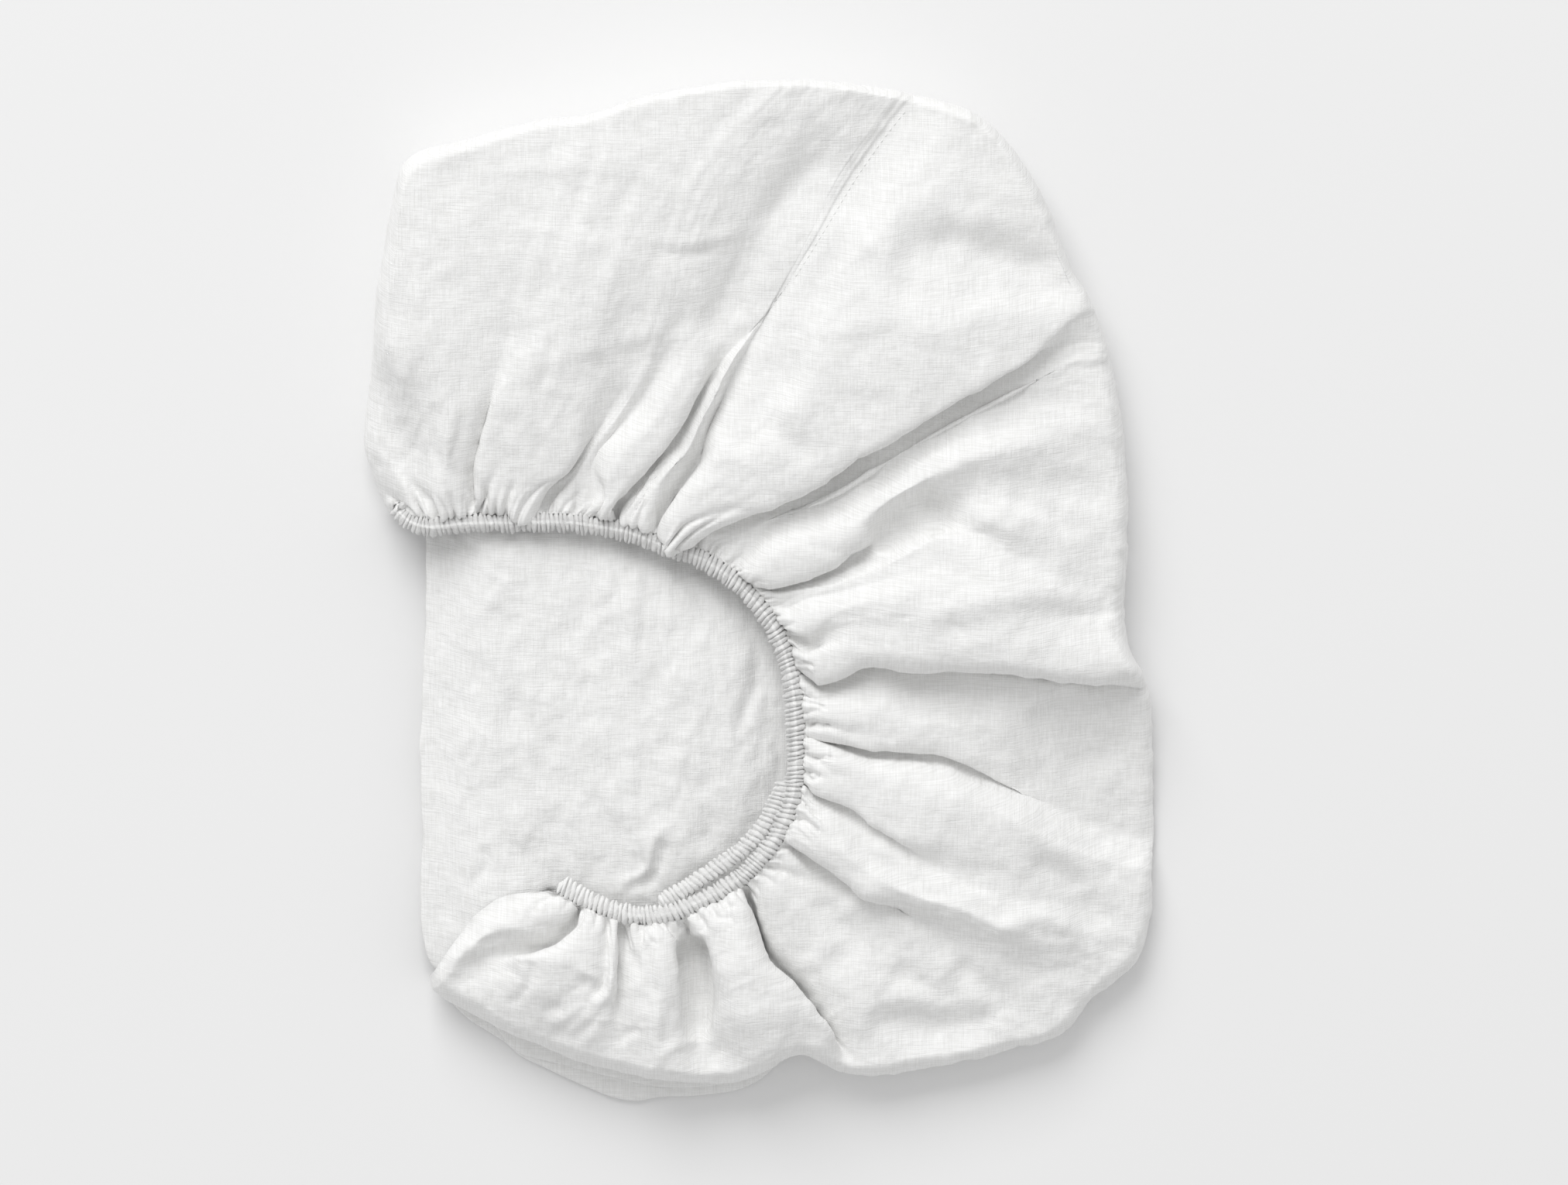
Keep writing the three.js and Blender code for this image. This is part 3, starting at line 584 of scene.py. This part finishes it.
# folds whose slots stay narrow all the way out, against the others
NARROW = {"v12": 0.35, "v9": 0.42, "v11": 0.7, "v16": 0.7}
columns, column_s, column_t, column_over, column_rim = [], [], [], [], []
for k, (zc, crest, over, n) in enumerate(PUFFS):
    A, B = floor_line[k], floor_line[k + 1]
    W = np.linalg.norm(B - A, axis=1)
    base = 0.5 * (floor_z[k] + floor_z[k + 1])
    w = 0.5 * (frac[k] + frac[k + 1])
    crest_z = crest_rows[k]
    crest_z = np.maximum(crest_z, 0.3 * base + 0.7 * np.maximum(floor_z[k], floor_z[k + 1]))
    crest = np.interp(w, [0.05, 0.8], crest if isinstance(crest, tuple) else (crest, crest))
    spread = 0.75 + 1.9 * smooth(0.5 * (spots[k] + spots[k + 1]), 5, 190)
    Q, Hh = profile(W, crest_z, floor_z[k], floor_z[k + 1], laps[k], laps[k + 1], sharp[k], sharp[k + 1], (spread * NARROW.get(FOLDS[k][0], 1), spread * NARROW.get(FOLDS[k + 1][0], 1)), crest, n)
    f = Q / np.maximum(W[:, None], 1e-6)
    fc = np.clip(f, 0, 1)
    P = A[:, None] + (B - A)[:, None] * f[..., None]
    Z = Hh
    # on to the curve of the hem and of the outline
    fh = fc[0]
    hem_curve, _ = along(OUTER[hem_at[k]:hem_at[k + 1] + 1], fh)
    fo = fc[-1]
    out_curve, _ = along(OUT_LINE[out_at[k]:out_at[k + 1] + 1], fo)
    ww = w[:, None, None]
    P = P + (hem_curve - P[0])[None] * (1 - smooth(ww, 0, 0.22)) + (out_curve - P[-1])[None] * smooth(ww, 0.25, 1)
    last = n + 1 if k == len(PUFFS) - 1 else n
    columns.append(np.concatenate([P, Z[..., None]], -1)[:, :last])
    hs = (hem_at[k] + (hem_at[k + 1] - hem_at[k]) * fc)[:, :last]
    column_s.append(hs)
    column_t.append((spots[k][:, None] * (1 - fc) + spots[k + 1][:, None] * fc)[:, :last])
    across = np.linspace(0, 1, n + 1)
    column_over.append((over[0] * np.exp(-((across - over[1]) / over[2]) ** 2) * smooth(across, 0, .15) * (1 - smooth(across, .85, 1)) * np.ones((ROWS, 1)))[:, :last])
    column_rim.append((rims[k] * (1 - fc) + rims[k + 1] * fc)[:, :last])
top = np.concatenate(columns, 1)  # rows x columns x (plan x, plan y, mm)
hem_s, hem_t = np.concatenate(column_s, 1), np.concatenate(column_t, 1)
over, rim_r = np.concatenate(column_over, 1), np.concatenate(column_rim, 1)
total_t = hem_t[-1:]
COLS = top.shape[1]
# from v2 to v4 the cloth slopes down as one plane, away from the hem
first = np.cumsum([0] + [p[3] for p in PUFFS])
c0, c1 = first[4], first[7]
part = top[:, c0:c1 + 1]
step = np.concatenate([np.zeros((ROWS, 1)), np.cumsum(np.linalg.norm(np.diff(part[..., :2], axis=1), axis=-1), 1)], 1)
step /= step[:, -1:]
way = (hem_t / total_t)[:, c0:c1 + 1]
low_v4 = floor_z[7][:, None]
plane_z = part[:, :1, 2] + 0.4 + (low_v4 - part[:, :1, 2]) * step ** 1.15
share = smooth(way, 0.28, 0.50)
part[..., 2] = part[..., 2] * (1 - share) + plane_z * share
# and so it does in the outer half below v8, down to v9
below_v8 = slice(first[13], first[14] + 1)
part = top[:, below_v8]
step = np.concatenate([np.zeros((ROWS, 1)), np.cumsum(np.linalg.norm(np.diff(part[..., :2], axis=1), axis=-1), 1)], 1)
step /= step[:, -1:]
way = (hem_t / total_t)[:, below_v8]
plane_z = 27.0 + (floor_z[14][:, None] - 27.0) * step
share = smooth(way, 0.40, 0.66) * smooth(step, 0.0, 0.10)
part[..., 2] = part[..., 2] * (1 - share) + plane_z * share
# the skirt thins towards its right side
way = hem_t / total_t
thin = np.interp(np.arange(COLS) / COLS * 100, [22, 32, 45, 54, 55.5, 58.2, 59, 64, 70, 77, 84], [0, .26, .40, .36, .20, .18, .45, .45, .36, .14, 0])
top[..., 2] *= 1 - thin[None] * smooth(way, 0.62, 1.0)
top[..., :2] = blur(blur(top[..., :2], 1, 1), 2, 0)
top[..., 2] = blur(blur(top[..., 2], 1, 1), 2, 0)

# the end of each puff rolls over the hem
t_dir = np.gradient(top[..., :2], axis=0)[6]
t_dir /= np.maximum(np.linalg.norm(t_dir, axis=-1, keepdims=True), 1e-6)
t_dir = blur(t_dir, 6, 0)
roll = np.exp(-(((hem_t - 9) / 8.0) ** 2))
top[..., :2] -= t_dir[None] * (over * roll)[..., None]
# rise from the hem
hem_z = np.interp(hem_s[0], [0, 18, 50, 80, 1e4], [16.5, 20.0, 24.0, HEM_Z + 0.4, HEM_Z + 0.4])
rise = 1 - np.exp(-hem_t / 7.5)
top[..., 2] = hem_z[None] * (1 - rise) + top[..., 2] * rise
# the rim turns down to the widest line
# height of the widest line, against how far round it is
RIM_AT = [0, 2, 6, 25, 45, 58, 64, 80, 90, 100]
RIM_HIGH = [15, 18, 21, 20, 14, 11, 9, 11, 11, 10]
RIM_Z = np.minimum(np.interp(np.arange(COLS) / COLS * 100, RIM_AT, RIM_HIGH), 0.52 * top[NEAR + MID, :, 2])
e = np.clip((total_t - hem_t) / rim_r, 0, 1)
turn = np.clip(1 - (1 - e) ** 2, 0, 1) ** np.interp(np.arange(COLS) / COLS * 100, [28, 45], [0.66, 0.55])[None]
top[..., 2] = RIM_Z[None] + (top[..., 2] - RIM_Z[None]) * turn



# fine shape, moved along the surface
def pleats(hs, ht):
    """Gathers at the hem: narrow valleys between round ridges, of their own depth and length, in three sizes."""
    total = np.zeros_like(hs)
    for seed, low, high, depth, reach, width in ((21, 4.6, 8.6, 0.75, 10, 0.27), (22, 9, 17, 1.5, 20, 0.20), (23, 20, 40, 2.2, 46, 0.12)):
        rng = np.random.default_rng(seed)
        at = [rng.uniform(0, low)]
        while at[-1] < len(HEM_LINE):
            at.append(at[-1] + rng.uniform(low, high))
        pitch = 0.5 * (low + high)
        for c in at:
            d, r, bend = depth * rng.uniform(0.35, 1.45), reach * rng.uniform(0.5, 1.6), rng.uniform(-1, 1)
            centre = c + bend * pitch * 0.5 * np.clip(ht / reach, 0, 2.5) ** 1.4
            spread = pitch * width * (1 + 0.5 * np.clip(ht / reach, 0, 3))
            near = np.abs(hs - centre) < 3.2 * spread
            if not near.any():
                continue
            q = (hs[near] - (centre[near] if np.ndim(centre) else centre)) / spread[near]
            total[near] -= d * np.exp(-np.abs(q) ** 1.6) * np.exp(-((ht[near] / r) ** 1.6))
        total += 0.3 * depth * np.exp(-((ht / reach) ** 2))
    return total * np.interp(hs, [0, 30, 380, 480], [1.5, 1.8, 1.7, 1.25]) * (0.3 + 0.7 * smooth(ht, -1, 6))


def fine_shape(x, y, hs, ht, e):
    open_part = smooth(e, 0.0, 0.45)
    out = 1.35 * creases(x, y, CREASES) * (1 - 0.55 * (1 - smooth(x, 820, 900)) * (1 - smooth(y, 520, 600)))
    lower = smooth(y, 860, 980) * smooth(x, 960, 1060)
    out += 2.4 * crumple(x, y, 3, 96, 4) * smooth(ht, 20, 120) * (0.25 + 0.75 * open_part) * (1 - 0.42 * lower)
    out += 1.5 * crumple(x, y, 11, 40, 4) * (0.35 + 0.65 * smooth(ht, 10, 90)) * (1 - 0.10 * lower)
    out += 1.1 * crumple(x, y, 29, 22, 2) * smooth(ht, 20, 120) * lower
    # long soft streaks that follow the folds
    out += (0.32 * grid_noise(hs / 14.0, ht / 150.0, 5) + 0.12 * grid_noise(hs / 5.5, ht / 90.0, 6)) * smooth(ht, 8, 50) * open_part
    return out


def move_along(g, move):
    solid = np.stack([g[..., 0] * UNIT, -g[..., 1] * UNIT, g[..., 2]], -1)
    n = normals(solid)
    n *= np.sign(np.median(n[..., 2]))
    solid = solid + n * move[..., None]
    return np.stack([solid[..., 0] / UNIT, -solid[..., 1] / UNIT, solid[..., 2]], -1)


way = hem_t / total_t
rough = top.copy()
e = np.clip((total_t - hem_t) / rim_r, 0, 1)
move = fine_shape(top[..., 0], top[..., 1], hem_s, hem_t, e) + 0.9 * pleats(hem_s, hem_t)
move -= 0.9 * (1 - smooth(hem_t, 14, 34))  # the gathers proper lie over this part
top = move_along(top, move)

# the gathers proper, by the hem: the same surface in finer columns
R_ROWS, R_REACH = 26, 46.0
fine_t = R_REACH * np.linspace(0, 1, R_ROWS) ** 1.25
col = np.linspace(0, COLS - 1, 2300)
ci = np.clip(col.astype(int), 1, COLS - 3)
cf = (col - ci)[None, :, None]
layers = np.concatenate([rough, hem_s[..., None], hem_t[..., None], e[..., None]], -1)
near_rows = layers[: NEAR + 24]
g0, g1, g2, g3 = near_rows[:, ci - 1], near_rows[:, ci], near_rows[:, ci + 1], near_rows[:, ci + 2]
near_rows = 0.5 * (2 * g1 + (g2 - g0) * cf + (2 * g0 - 5 * g1 + 4 * g2 - g3) * cf**2 + (3 * g1 - g0 - 3 * g2 + g3) * cf**3)
ring = np.empty((R_ROWS, near_rows.shape[1], near_rows.shape[2]))
for c in range(near_rows.shape[1]):
    for k in range(near_rows.shape[2]):
        ring[:, c, k] = np.interp(fine_t, near_rows[:, c, 4], near_rows[:, c, k])
rt = ring[..., 4]
move = fine_shape(ring[..., 0], ring[..., 1], ring[..., 3], rt, ring[..., 5])
move += pleats(ring[..., 3], rt) * (1.0 - 0.2 * smooth(rt, 20, R_REACH))
move -= 0.55 * smooth(rt, R_REACH - 10, R_REACH)
ring = move_along(ring[..., :3], move)

# under the rim, and the lowest layer out to the straight fold at the left
edge = top[-1]
tang = np.gradient(blur(edge[:, :2], 10, 0), axis=0)
tang /= np.maximum(np.linalg.norm(tang, axis=1, keepdims=True), 1e-6)
inward = np.stack([-tang[:, 1], tang[:, 0]], -1)
a = np.linspace(0, math.pi / 2, UNDER + 1)[1:, None]
reach_in = np.minimum(30.0, 0.4 * total_t[0])[None]
under = np.empty((UNDER, COLS, 3))
under[..., :2] = edge[None, :, :2] + inward[None] * (reach_in * (1 - np.cos(a)))[..., None]
under[..., 2] = 0.4 + (edge[None, :, 2] - 0.4) * (1 - np.sin(a))
foot = under[-1]
spine_f = np.linspace(0, 1, COLS)
spine = np.stack([np.full(COLS, 566.0), 712 + (1226 - 712) * spine_f, np.full(COLS, 0.4)], -1)
b = np.linspace(0, 1, PLATE + 1)[1:, None, None]
plate = foot[None] * (1 - b) + spine[None] * b
plate[..., 2] = 0.35
skirt = np.concatenate([top, under, plate], 0)
skirt[..., 2] = np.maximum(skirt[..., 2], 0.3)

# ---------------------------------------------------------------- the folded panel
PANEL = [  # y, left fold, right fold
    (232, 612, 1205), (330, 552, 1300), (610, 540, 1396), (690, 556, 1400), (705, 557, 1400), (760, 555, 1404),
    (840, 552, 1380), (900, 551, 1345), (1050, 550, 1345), (1180, 551, 1345), (1235, 556, 1290), (1262, 572, 1220), (1325, 690, 1040)]
py_fine = np.r_[np.linspace(232, 664, 8, endpoint=False), np.linspace(664, 1262, 140, endpoint=False), np.linspace(1262, 1325, 6)]
py_rough = np.r_[np.linspace(232, 664, 6, endpoint=False), np.linspace(664, 1262, 24, endpoint=False), np.linspace(1262, 1325, 4)]
table = np.array(PANEL, float)
LOW_PITCH = 1.42  # mm between the lower layers
TOP = LAYERS - 1
FOLD_OUT = [0.6, -0.9, 0.9, -0.5, 0.7, -0.2]


def folds_at(k, py):
    """Left and right fold of layer k, in mm of plan."""
    left, right = np.interp(py, table[:, 0], table[:, 1]), np.interp(py, table[:, 0], table[:, 2])
    left = blur(left[None], 4, 1)[0]
    wander = 1.1 * grid_noise(py / 90.0, np.full(py.shape, 3.7 * (k // 2)), 71) + 0.5 * grid_noise(py / 30.0, np.full(py.shape, 2.3 * (k // 2)), 72)
    return left * UNIT - FOLD_OUT[(k // 2) % 6] + wander + LOW_PITCH / 2, right * UNIT - LOW_PITCH / 2


def layer_z(k):
    return 1.0 + k * LOW_PITCH if k < TOP else PANEL_Z


def stack_lines(py, start, end):
    """The cloth's line from layer to layer, as rows of points along the panel."""
    lines = []
    for k in range(start, end + 1):
        z = layer_z(k)
        lx, rx = folds_at(k, py)
        if k == TOP:
            lx = lx + 1.0
            span = np.r_[np.linspace(0, 0.012, 6, endpoint=False), np.linspace(0.012, 0.60, 96, endpoint=False), np.linspace(0.60, 1, 6)]
        else:
            span = np.linspace(0, 1, 8)
        if k > start or k == 0:
            for f in span:
                # even layers run from their right fold to their left one, odd ones back again
                xx = rx + (lx - rx) * f if k % 2 == 0 else lx + (rx - lx) * f
                lines.append(np.stack([xx / UNIT, py, np.full(py.shape, z)], -1))
        if k < end:
            zn = layer_z(k + 1)
            lx2, rx2 = folds_at(k + 1, py)
            if k + 1 == TOP:
                lx2 = lx2 + 1.0
            r = (zn - z) / 2
            c0, c1, sign = (lx, lx2, -1) if k % 2 == 0 else (rx, rx2, 1)
            steps = 5 if k + 1 < TOP else 10
            for n in range(1, steps):
                ang = -math.pi / 2 + math.pi * n / steps
                f = n / steps
                lines.append(np.stack([(c0 * (1 - f) + c1 * f + sign * r * math.cos(ang) * 1.1) / UNIT, py, np.full(py.shape, z + r + r * math.sin(ang))], -1))
    return np.array(lines)


lower = stack_lines(py_rough, 0, TOP - 1)
upper = stack_lines(py_fine, TOP - 1, TOP)
px_, py_ = upper[..., 0], upper[..., 1]
hem_d = np.full(px_.shape, 1e9)
for p in HEM_LINE[::6]:
    hem_d = np.minimum(hem_d, np.hypot(px_ - p[0], py_ - p[1]))
lift = 1.8 * creases(px_, py_, PANEL_CREASES) + 2.3 * crumple(px_ * 1.5, py_ * 0.8, 41, 90, 3) + 2.3 * crumple(px_ * 1.3, py_ * 0.9, 47, 40, 4)
lift -= 1.2 * np.exp(-((hem_d / 26) ** 2)) + 5.4 * np.exp(-((hem_d / 74) ** 2)) * (0.30 + 0.70 * smooth(px_, 720, 920)) * smooth(px_, 560, 700)
lift = np.maximum(lift, -6.2)
z_low = layer_z(TOP - 1)
upper[..., 2] += lift * smooth(upper[..., 2], z_low + 0.35 * (PANEL_Z - z_low), PANEL_Z)
# outside the hem the layers lie pressed together under the skirt
HEM_LOOP = np.vstack([HEM_LINE[30::6], [[560, 1262], [545, 1200], [545, 700]]])


def inside_hem(x, y):
    """True where a point lies inside the closed loop of the hem and the straight fold."""
    inside = np.zeros(x.shape, bool)
    a, b = HEM_LOOP, np.roll(HEM_LOOP, -1, 0)
    for (x0, y0), (x1, y1) in zip(a, b):
        hit = (y0 > y) != (y1 > y)
        inside ^= hit & (x < (x1 - x0) * (y - y0) / (y1 - y0 + 1e-12) + x0)
    return inside


for g in (lower, upper):
    away = np.full(g.shape[:2], 1e9)
    for p in HEM_LINE[::6]:
        away = np.minimum(away, np.hypot(g[..., 0] - p[0], g[..., 1] - p[1]))
    away[inside_hem(g[..., 0], g[..., 1]) | (g[..., 0] < 575)] = 0
    g[..., 2] = 0.8 + (g[..., 2] - 0.8) * (1 - 0.52 * smooth(away, 4, 44) - 0.26 * smooth(away, 110, 260))
    # and thin out to the straight fold at the left
    g[..., 2] = 0.8 + (g[..., 2] - 0.8) * (0.40 + 0.60 * smooth(g[..., 0], 545, 640))


def plan_uv(g, angle=0.0):
    """Cloth coordinates in metres, from the plan, turned by an angle."""
    m = mm(g)
    c, s_ = math.cos(angle), math.sin(angle)
    return np.stack([m[..., 0] * c + m[..., 1] * s_, m[..., 1] * c - m[..., 0] * s_ + 0.4 * m[..., 2]], -1).reshape(-1, 2)


sheet = add_mesh("sheet_cloth", [(mm(skirt), False), (mm(lower), False), (mm(upper), False)], LINEN, [plan_uv(skirt), plan_uv(lower), plan_uv(upper)])
gathers = add_mesh("hem_gathers", [(mm(ring), False)], LINEN, [plan_uv(ring)])


# ---------------------------------------------------------------- the gathered hem
def gathered_tube(name, line, z_of, width, height, seed, taper=(6, 6)):
    """A narrow hem gathered on elastic: ridges of uneven width across a flattened tube."""
    rng = np.random.default_rng(seed)
    line = dense(line, 1.0)
    length = np.linalg.norm(np.diff(line, axis=0), axis=1).sum()
    ridges = [0.0]
    while ridges[-1] < length:
        ridges.append(ridges[-1] + rng.uniform(4.6, 8.6))
    ridges = np.array(ridges)
    n = int(length / 0.62)
    s = np.linspace(0, length, n)
    p, _ = along(line, s / length)
    t = np.gradient(p, axis=0)
    t /= np.linalg.norm(t, axis=1, keepdims=True)
    t = blur(t, 8, 0)
    side = np.stack([t[:, 1], -t[:, 0]], -1)
    sides = 22
    ang = np.linspace(0, 2 * math.pi, sides + 1)
    c, sn = np.cos(ang)[None], np.sin(ang)[None]
    # each ridge slants and bends in its own way across the hem
    k = np.arange(len(ridges))
    slant, bend, high = rng.uniform(0.5, 3.4, len(k)), rng.uniform(-1.6, 1.6, len(k)), rng.uniform(0.65, 1.25, len(k))
    lean = np.interp(s, ridges, slant)[:, None] * c + np.interp(s, ridges, bend)[:, None] * (c**2 - 0.5)
    ss = s[:, None] + lean
    phase = np.interp(ss, ridges, k)
    amp = np.interp(ss, ridges, high)
    w = phase - np.floor(phase)
    ridge = (np.abs(np.sin(math.pi * w)) ** 0.55) * amp
    ends = smooth(s, -0.01, taper[0])[:, None] ** 0.5 * smooth(length - s, -0.01, taper[1])[:, None] ** 0.5
    fine = grid_noise(ss / 2.4, np.repeat(ang[None] * 1.6, n, 0), seed + 3) * 0.12
    grow = 0.54 + 0.52 * ridge + fine
    wobble = 1 + 0.06 * grid_noise(s / 17.0, s * 0 + 2.2, seed + 9)[:, None]
    lat = c * width / 2 * grow * ends * wobble
    ver = np.sign(sn) * np.abs(sn) ** 0.9 * height / 2 * grow * ends
    shift = 0.5 * grid_noise(s / 40.0, s * 0 + 5.1, seed + 12)[:, None] / UNIT
    q = np.empty((n, sides + 1, 3))
    q[..., :2] = p[:, None] + side[:, None] * (lat / UNIT + 0 * shift)[..., None] + t[:, None] * ((1 - w) * 0 - 0.25 * np.sin(2 * math.pi * w))[..., None]
    q[..., 2] = z_of(s, length)[:, None] + ver
    return q, s, p


def hem_height(s, length):
    return np.interp(s, [0, 18, 50, 80, 1e5], [16.5, 20.0, 24.0, HEM_Z, HEM_Z])


hem_q, hem_arc, hem_p = gathered_tube("gathered_hem", HEM, hem_height, HEM_W, HEM_H, 5)
hem_m = mm(hem_q)
hem = add_mesh("gathered_hem", [(hem_m[::-1], False)], LINEN_HEM, [cloth_uv(hem_m[::-1])])
INNER = [(1012, 1008), (1004, 1034), (990, 1060), (968, 1088), (942, 1109), (914, 1128), (888, 1145), (866, 1158), (850, 1166)]
inner_q, _, _ = gathered_tube("hem_inner_turn", INNER, lambda s, length: np.full(s.shape, HEM_Z - 0.3), HEM_W * 0.86, HEM_H * 0.9, 15)
inner_m = mm(inner_q)
inner = add_mesh("hem_inner_turn", [(inner_m[::-1], False)], LINEN_HEM, [cloth_uv(inner_m[::-1])])

# ---------------------------------------------------------------- cloth folded under at the lower left
def folded_edge(line, z0, thick, deep):
    """A fold's rounded edge and the two layers that run from it in under the bundle."""
    line = dense(line, 3.0)
    line = blur(line, 2, 0)
    t = np.gradient(line, axis=0)
    t /= np.linalg.norm(t, axis=1, keepdims=True)
    inward = np.stack([t[:, 1], -t[:, 0]], -1)
    inward *= np.sign((inward * (np.array([820.0, 1200.0]) - line)).sum(1))[:, None]
    section = [(deep, .04), (14, .04), (5, .05), (2.2, .12), (.8, .26), (0, .5), (.8, .74), (2.4, .88), (6, .97), (16, 1.06), (30, 1.2), (deep, 1.3)]
    g = np.empty((len(line), len(section), 3))
    wave = 1 + 0.25 * grid_noise(np.arange(len(line)) / 9.0, np.full(len(line), 4.4), 61)
    for j, (i, h) in enumerate(section):
        g[:, j, :2] = line + inward * i
        g[:, j, 2] = z0 + thick * h * wave
    return g


FOLDED_UNDER = [
    ([(574, 1290), (585, 1303), (602, 1319), (650, 1350), (668, 1366), (700, 1382), (750, 1405), (790, 1421), (820, 1426), (850, 1421), (900, 1419), (960, 1409), (992, 1390), (1006, 1372)], 0.35, 3.4, 46),
    ([(636, 1328), (665, 1361), (700, 1372), (750, 1385), (800, 1397), (850, 1407), (890, 1408), (930, 1404), (962, 1392)], 3.6, 2.6, 40)]
under_grids = [folded_edge(*f) for f in FOLDED_UNDER]
under_fold = add_mesh("folded_under", [(mm(g), False) for g in under_grids], LINEN, [plan_uv(g) for g in under_grids])


# ---------------------------------------------------------------- the stitches of the corner seam
def stitches(name, lines, length, gap, width, sink):
    """Short threads laid on the cloth along a seam."""
    trees = [BVHTree.FromPolygons([v.co for v in ob.data.vertices], [p.vertices[:] for p in ob.data.polygons]) for ob in (sheet, gathers)]

    def ground_at(p):
        x, y = (p[0] - PLAN_X) * UNIT * 0.001, (PLAN_Y - p[1]) * UNIT * 0.001
        hits = [t.ray_cast(Vector((x, y, 0.2)), Vector((0, 0, -1)))[0] for t in trees]
        return np.array(max((h for h in hits if h), key=lambda h: h.z))

    grids = []
    for line in lines:
        line = dense(line, 1.0)
        total = np.linalg.norm(np.diff(line, axis=0), axis=1).sum() * UNIT
        at = 0.5
        while at + length < total:
            p, _ = along(line, np.array([at, at + length]) / total)
            a, b = ground_at(p[0]), ground_at(p[1])
            at += length + gap
            if np.linalg.norm(b - a) > 2.2 * length * 0.001:
                continue
            d = (b - a) / np.linalg.norm(b - a)
            side = np.cross(d, (0, 0, 1.0))
            side /= np.linalg.norm(side)
            up = np.cross(side, d)
            f = np.linspace(0, 1, 7)
            r = 0.5 * width * 0.001 * np.sin(np.pi * np.clip(f, 0.03, 0.97)) ** 0.45
            arch = np.sin(np.pi * f) * 0.30 * width * 0.001 - sink * 0.001
            turn = np.linspace(0, 2 * np.pi, 7)
            rings = a[None] + (b - a)[None] * f[:, None] + up[None] * arch[:, None]
            grids.append((rings[:, None] + r[:, None, None] * (np.cos(turn)[None, :, None] * side + np.sin(turn)[None, :, None] * up), False))
    return add_mesh(name, grids, LINEN_HEM, [cloth_uv(g) for g, _ in grids])


seam = stitches("corner_seam_stitches", [
    [tuple(p + (2.0, 1.0)) for p in top[(way[:, c1] > 0.56) & (way[:, c1] < 0.97), c1, :2]],
    [(809, 662), (818, 645), (831, 622), (845, 603), (862, 580)],
    [(816, 668), (826, 650), (839, 627), (853, 608), (869, 586)]], 1.7, 1.1, 0.46, 0.05)

# ---------------------------------------------------------------- each piece on the root body, the CAD sheet hidden
for ob in (sheet, gathers, hem, inner, seam, under_fold):
    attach(ob, "root")
    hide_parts("sheet")

# ---------------------------------------------------------------- stage, light, camera
bpy.ops.mesh.primitive_plane_add(size=8, location=(0, 0, 0))
ground = bpy.context.object
ground.name = "ground"
gm = bpy.data.materials.new("pale_ground")
gm.use_nodes = True
gb = gm.node_tree.nodes["Principled BSDF"]
gb.inputs["Base Color"].default_value = (0.87, 0.87, 0.87, 1)
gb.inputs["Roughness"].default_value = 0.9
gb.inputs["Specular IOR Level"].default_value = 0.1
ground.data.materials.append(gm)

world = bpy.data.worlds.new("world")
bpy.context.scene.world = world
world.use_nodes = True
world.node_tree.nodes["Background"].inputs["Color"].default_value = (1, 1, 1, 1)
world.node_tree.nodes["Background"].inputs["Strength"].default_value = 0.62


def area(name, where, size, power):
    d = bpy.data.lights.new(name, "AREA")
    d.shape = "SQUARE"
    d.size = size
    d.energy = power
    ob = bpy.data.objects.new(name, d)
    ob.location = where
    ob.rotation_euler = (Vector((0, 0, 0)) - Vector(where)).to_track_quat("-Z", "Y").to_euler()
    bpy.context.scene.collection.objects.link(ob)
    return ob


area("key", (-1.45, 4.25, 3.9), 4.0, 214)

cam_data = bpy.data.cameras.new("camera")
cam_data.lens = 200
cam_data.sensor_width = 36
cam_data.clip_end = 20
cam = bpy.data.objects.new("camera", cam_data)
cam.location = ((1012.5 - PLAN_X) * UNIT * 0.001, (PLAN_Y - 765) * UNIT * 0.001, 0.025 + 200 / 36 * 0.6075)
cam.rotation_euler = (0, 0, 0)
bpy.context.scene.collection.objects.link(cam)
bpy.context.scene.camera = cam
bpy.context.scene.view_settings.view_transform = "Standard"
